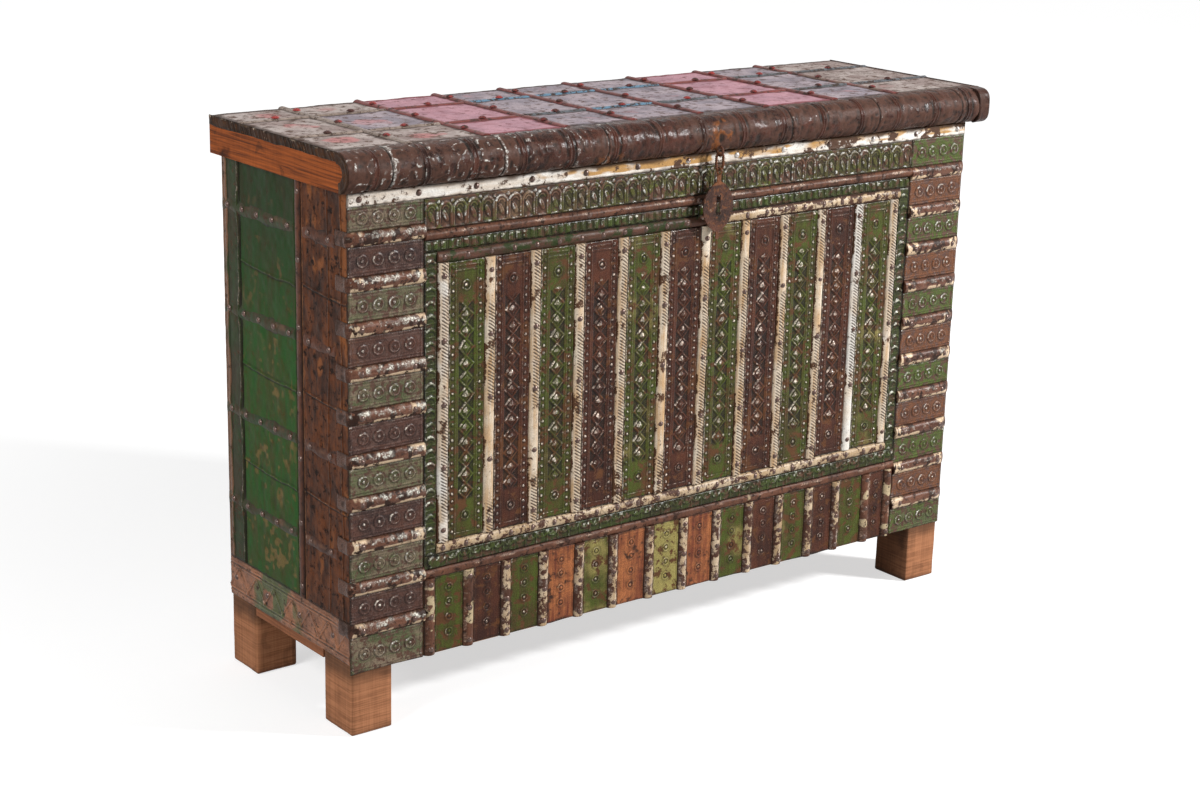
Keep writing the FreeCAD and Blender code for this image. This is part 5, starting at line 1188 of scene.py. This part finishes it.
def foot_dirt_and_shade(shade):
    """Darker under the body, stains near the floor, and painted shade on the face towards the left on the right feet.
    """
    def grime_and_shade(points):
        x, z = points[:, 0], points[:, 2]
        around = x + points[:, 1]
        under = 0.85 * step_up(z + 9 * rough(around, z, 26, 905), 82, 32)
        low = 0.35 * step_up(16 + 10 * rough(around, z, 22, 906) - z, 0, 12)
        stains = 0.3 * flecks(around, z, 30, 907, 0.2, 0.5)
        # shade paints the shadow that the chest casts on the left face of a right foot.
        return unit(under + low + stains + shade * (x < WOOD_RIGHT - POST_WIDTH + 4))
    return grime_and_shade


for side, x0, x1, shade in (("left", WOOD_LEFT, WOOD_LEFT + POST_WIDTH, 0.0),
                            ("right", WOOD_RIGHT - POST_WIDTH, WOOD_RIGHT, 0.72)):
    for face, y0, y1 in (("front", FACE, FACE + POST_DEPTH), ("back", BACK - POST_DEPTH, BACK)):
        block(f"post_{face}_{side}", (x0, y0, 0.0), (x1, y1, TOP - 0.2), "foot_timber",
              f"corner_post_{face}_{side}", 900 + int(x0 > 0) + 2 * int(y0 > 0), foot_dirt_and_shade(shade))


# Hasp

def tube(path, radius, sides=10):
    """Points and faces of a closed ring of wire along a closed path."""
    ahead = np.roll(path, -1, 0) - np.roll(path, 1, 0)
    ahead = ahead / np.linalg.norm(ahead, axis=1, keepdims=True)
    across = np.cross(ahead, (0, 1, 0))
    across = across / np.linalg.norm(across, axis=1, keepdims=True)
    up = np.cross(across, ahead)
    turn = np.linspace(0, 2 * np.pi, sides, endpoint=False)
    circle = across[:, None] * np.cos(turn)[None, :, None] + up[:, None] * np.sin(turn)[None, :, None]
    points = (path[:, None] + radius * circle).reshape(-1, 3)
    grid = np.arange(len(points)).reshape(len(path), sides)
    after, beside = np.roll(grid, -1, 0), np.roll(grid, -1, 1)
    quads = np.stack((grid, beside, np.roll(after, -1, 1), after), -1).reshape(-1, 4)
    return points, quads


def twisted_link(bend=8.0, low=914.3, high=928.3, twists=11, off=1.2, wire=1.45):
    """Long ring of two wires twisted together."""
    straight, arc = high - low, math.pi * bend
    run = np.linspace(0, 2 * (arc + straight), 280, endpoint=False)
    turn = np.clip((run - straight) / bend, 0, math.pi) + np.clip((run - 2 * straight - arc) / bend, 0, math.pi)
    climb = np.minimum(run, straight) - np.clip(run - straight - arc, 0, straight)
    points, quads = [], []
    for phase in (0, math.pi):
        spin = 2 * np.pi * twists * run / run[-1] * (len(run) - 1) / len(run) + phase
        reach = bend + off * np.cos(spin)
        path = stacked(HASP_X + reach * np.cos(turn), HASP_Y + off * np.sin(spin), low + climb + reach * np.sin(turn))
        p, q = tube(path, wire)
        quads.append(q + sum(map(len, points)))
        points.append(p)
    points, quads = np.concatenate(points), np.concatenate(quads)
    make_mesh("hasp_link_twist", points, quads, [], len(quads),
              {"wear_and_highlight": 0.0, "hollow": 0.0, "chip": 0.2, "tone": 0.0}, "iron", "hasp_link", "hasp_link")


def hammered(name, node, body, seed, voxel=0.7, depth=0.55):
    """Fine, uneven skin in the place of a plain solid, a little inside it."""
    work = linked(name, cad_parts[node].data.copy())
    remesh = work.modifiers.new("remesh", "REMESH")
    remesh.mode = "VOXEL"
    remesh.voxel_size = voxel * MM
    mesh = bpy.data.meshes.new_from_object(work.evaluated_get(bpy.context.evaluated_depsgraph_get()))
    bpy.data.objects.remove(work)
    points, normals = (np.empty(len(mesh.vertices) * 3) for _ in range(2))
    mesh.vertices.foreach_get("co", points)
    mesh.vertices.foreach_get("normal", normals)
    points, normals = points.reshape(-1, 3) / MM, normals.reshape(-1, 3)
    pits = rough(points[:, 0], points[:, 2], 9, seed) + 0.5 * noise(points[:, 0], points[:, 2], 3, seed + 4)
    bumps = 0.5 + 0.5 * np.clip(pits, -1, 1)
    points = points - normals * (0.25 + depth * bumps)[:, None]
    mesh.vertices.foreach_set("co", (points * MM).ravel())
    neck = step_up(points[:, 2], points[:, 2].max() - 38, 14)
    rim = 0.5 * step_up(0.9 - np.abs(normals[:, 1]), 0, 0.3) * bumps
    write_fields(mesh, {"wear_and_highlight": np.clip(pits - 0.45, 0, 0.5) + rim, "hollow": np.clip(-1.3 * pits - 0.25, 0, 0.8),
                        "chip": 0.0, "tone": 1.1 * neck})
    mesh.polygons.foreach_set("use_smooth", np.ones(len(mesh.polygons), bool))
    mesh.materials.clear()
    dressed(name, mesh, "iron", body, node)


twisted_link()
hammered("hasp_oval", "hasp_plate", "hasp_plate", 950)

# CAD solids that are shown as they are, with better materials
DRESS = {
    "box_timber": "front_rails back_rails front_planks back_planks floor_planks",
    "rail_timber": "left_rails right_rails",
    "box_timber_end": "left_planks right_planks floor_battens lid_battens",
    "lid_timber": "lid_front_plank lid_planks",
    "nail_metal": "front_nails side_nails hinge_nails",
    "red_nail_paint": "lid_nails",
    "iron": "hasp_staple hinge_body_leaves hinge_lid_leaves hinge_pins",
}
for look, names in DRESS.items():
    for name in names.split():
        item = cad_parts[name]
        item.data.materials.clear()
        item.data.materials.append(LOOKS[look])


# Floor, light and camera

def seen_rays(nodes, links):
    """1 for rays from the camera, off gloss and through glass, and 0 for the rest."""
    path = nodes.new("ShaderNodeLightPath")
    total = path.outputs["Is Camera Ray"]
    for kind in ("Is Glossy Ray", "Is Transmission Ray"):
        most = nodes.new("ShaderNodeMath")
        most.operation = "MAXIMUM"
        links.new(total, most.inputs[0])
        links.new(path.outputs[kind], most.inputs[1])
        total = most.outputs[0]
    return total


def plain_floor(half=12):
    tree = Tree("floor_white")
    glow = tree.nodes.new("ShaderNodeEmission")
    glow.inputs["Color"].default_value = (1, 1, 1, 1)
    apart = tree.nodes.new("ShaderNodeVectorMath")
    apart.operation = "LENGTH"
    tree.links.new(tree.place, apart.inputs[0])
    wide = tree.between(apart.outputs["Value"], 0.9, 3.2, 0.62, 0.92)
    tree.put(glow.inputs["Strength"], tree.times(seen_rays(tree.nodes, tree.links), wide))
    both = tree.nodes.new("ShaderNodeAddShader")
    grain = tree.noise(30.0, 2.0)
    tree.put(tree.shader.inputs["Base Color"], tree.mix(grain, (0.49, 0.49, 0.49), (0.51, 0.51, 0.51)))
    tree.shader.inputs["Roughness"].default_value = 0.9
    tree.shader.inputs["Specular IOR Level"].default_value = 0.0
    tree.links.new(tree.shader.outputs[0], both.inputs[0])
    tree.links.new(glow.outputs[0], both.inputs[1])
    tree.links.new(both.outputs[0], tree.out.inputs[0])
    mesh = bpy.data.meshes.new("floor")
    mesh.from_pydata([(-half, -half, 0), (half, -half, 0), (half, half, 0), (-half, half, 0)], [], [(0, 1, 2, 3)])
    mesh.materials.append(tree.material)
    linked("floor", mesh)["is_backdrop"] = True


def sky(fill):
    """Plain world that is white to the rays that see it and lights the rest with fill."""
    world = bpy.data.worlds.new("studio")
    bpy.context.scene.world = world
    world.use_nodes = True
    nodes, links = world.node_tree.nodes, world.node_tree.links
    back, blend = nodes["Background"], nodes.new("ShaderNodeMapRange")
    back.inputs["Color"].default_value = (1, 1, 1, 1)
    links.new(seen_rays(nodes, links), blend.inputs["Value"])
    blend.inputs["To Min"].default_value = fill
    blend.inputs["To Max"].default_value = 1.0
    links.new(blend.outputs["Result"], back.inputs["Strength"])


def lamp(name, place, target, size, watts):
    light = bpy.data.lights.new(name, "AREA")
    light.size = size
    light.energy = watts
    item = linked(name, light)
    item.location = place
    item.rotation_euler = (Vector(target) - Vector(place)).to_track_quat("-Z", "Y").to_euler()


plain_floor()
sky(0.12)
lamp("key", (3.4, -3.5, 3.0), (0, 0, 0.55), 0.63, 450)
lamp("left_fill", (-3.6, -0.7, 2.4), (0, 0, 0.5), 1.8, 125)
lamp("top_fill", (0.0, 0.6, 3.4), (0, 0, 0.9), 2.0, 18)

camera = bpy.data.cameras.new("camera")
camera.sensor_width = 36.0
camera.lens = 67.6
camera.clip_end = 100.0
azimuth, elevation, roll_angle = math.radians(37.93), math.radians(16.3), math.radians(1.42)
forward = Vector((math.sin(azimuth) * math.cos(elevation), math.cos(azimuth) * math.cos(elevation),
                  -math.sin(elevation)))
level = Vector((math.cos(azimuth), -math.sin(azimuth), 0))
upward = level.cross(forward)
right_axis = level * math.cos(roll_angle) + upward * math.sin(roll_angle)
up_axis = upward * math.cos(roll_angle) - level * math.sin(roll_angle)
turn = Matrix((right_axis, up_axis, -forward)).transposed().to_4x4()
viewer = linked("camera", camera)
viewer.matrix_world = Matrix.Translation(Vector((-2538.52, -3211.665, 1635.09)) * MM) @ turn
bpy.context.scene.camera = viewer
bpy.context.scene.view_settings.view_transform = "Standard"

[[list(map(float, corner)) for corner in box] for box in (cad_box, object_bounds())]
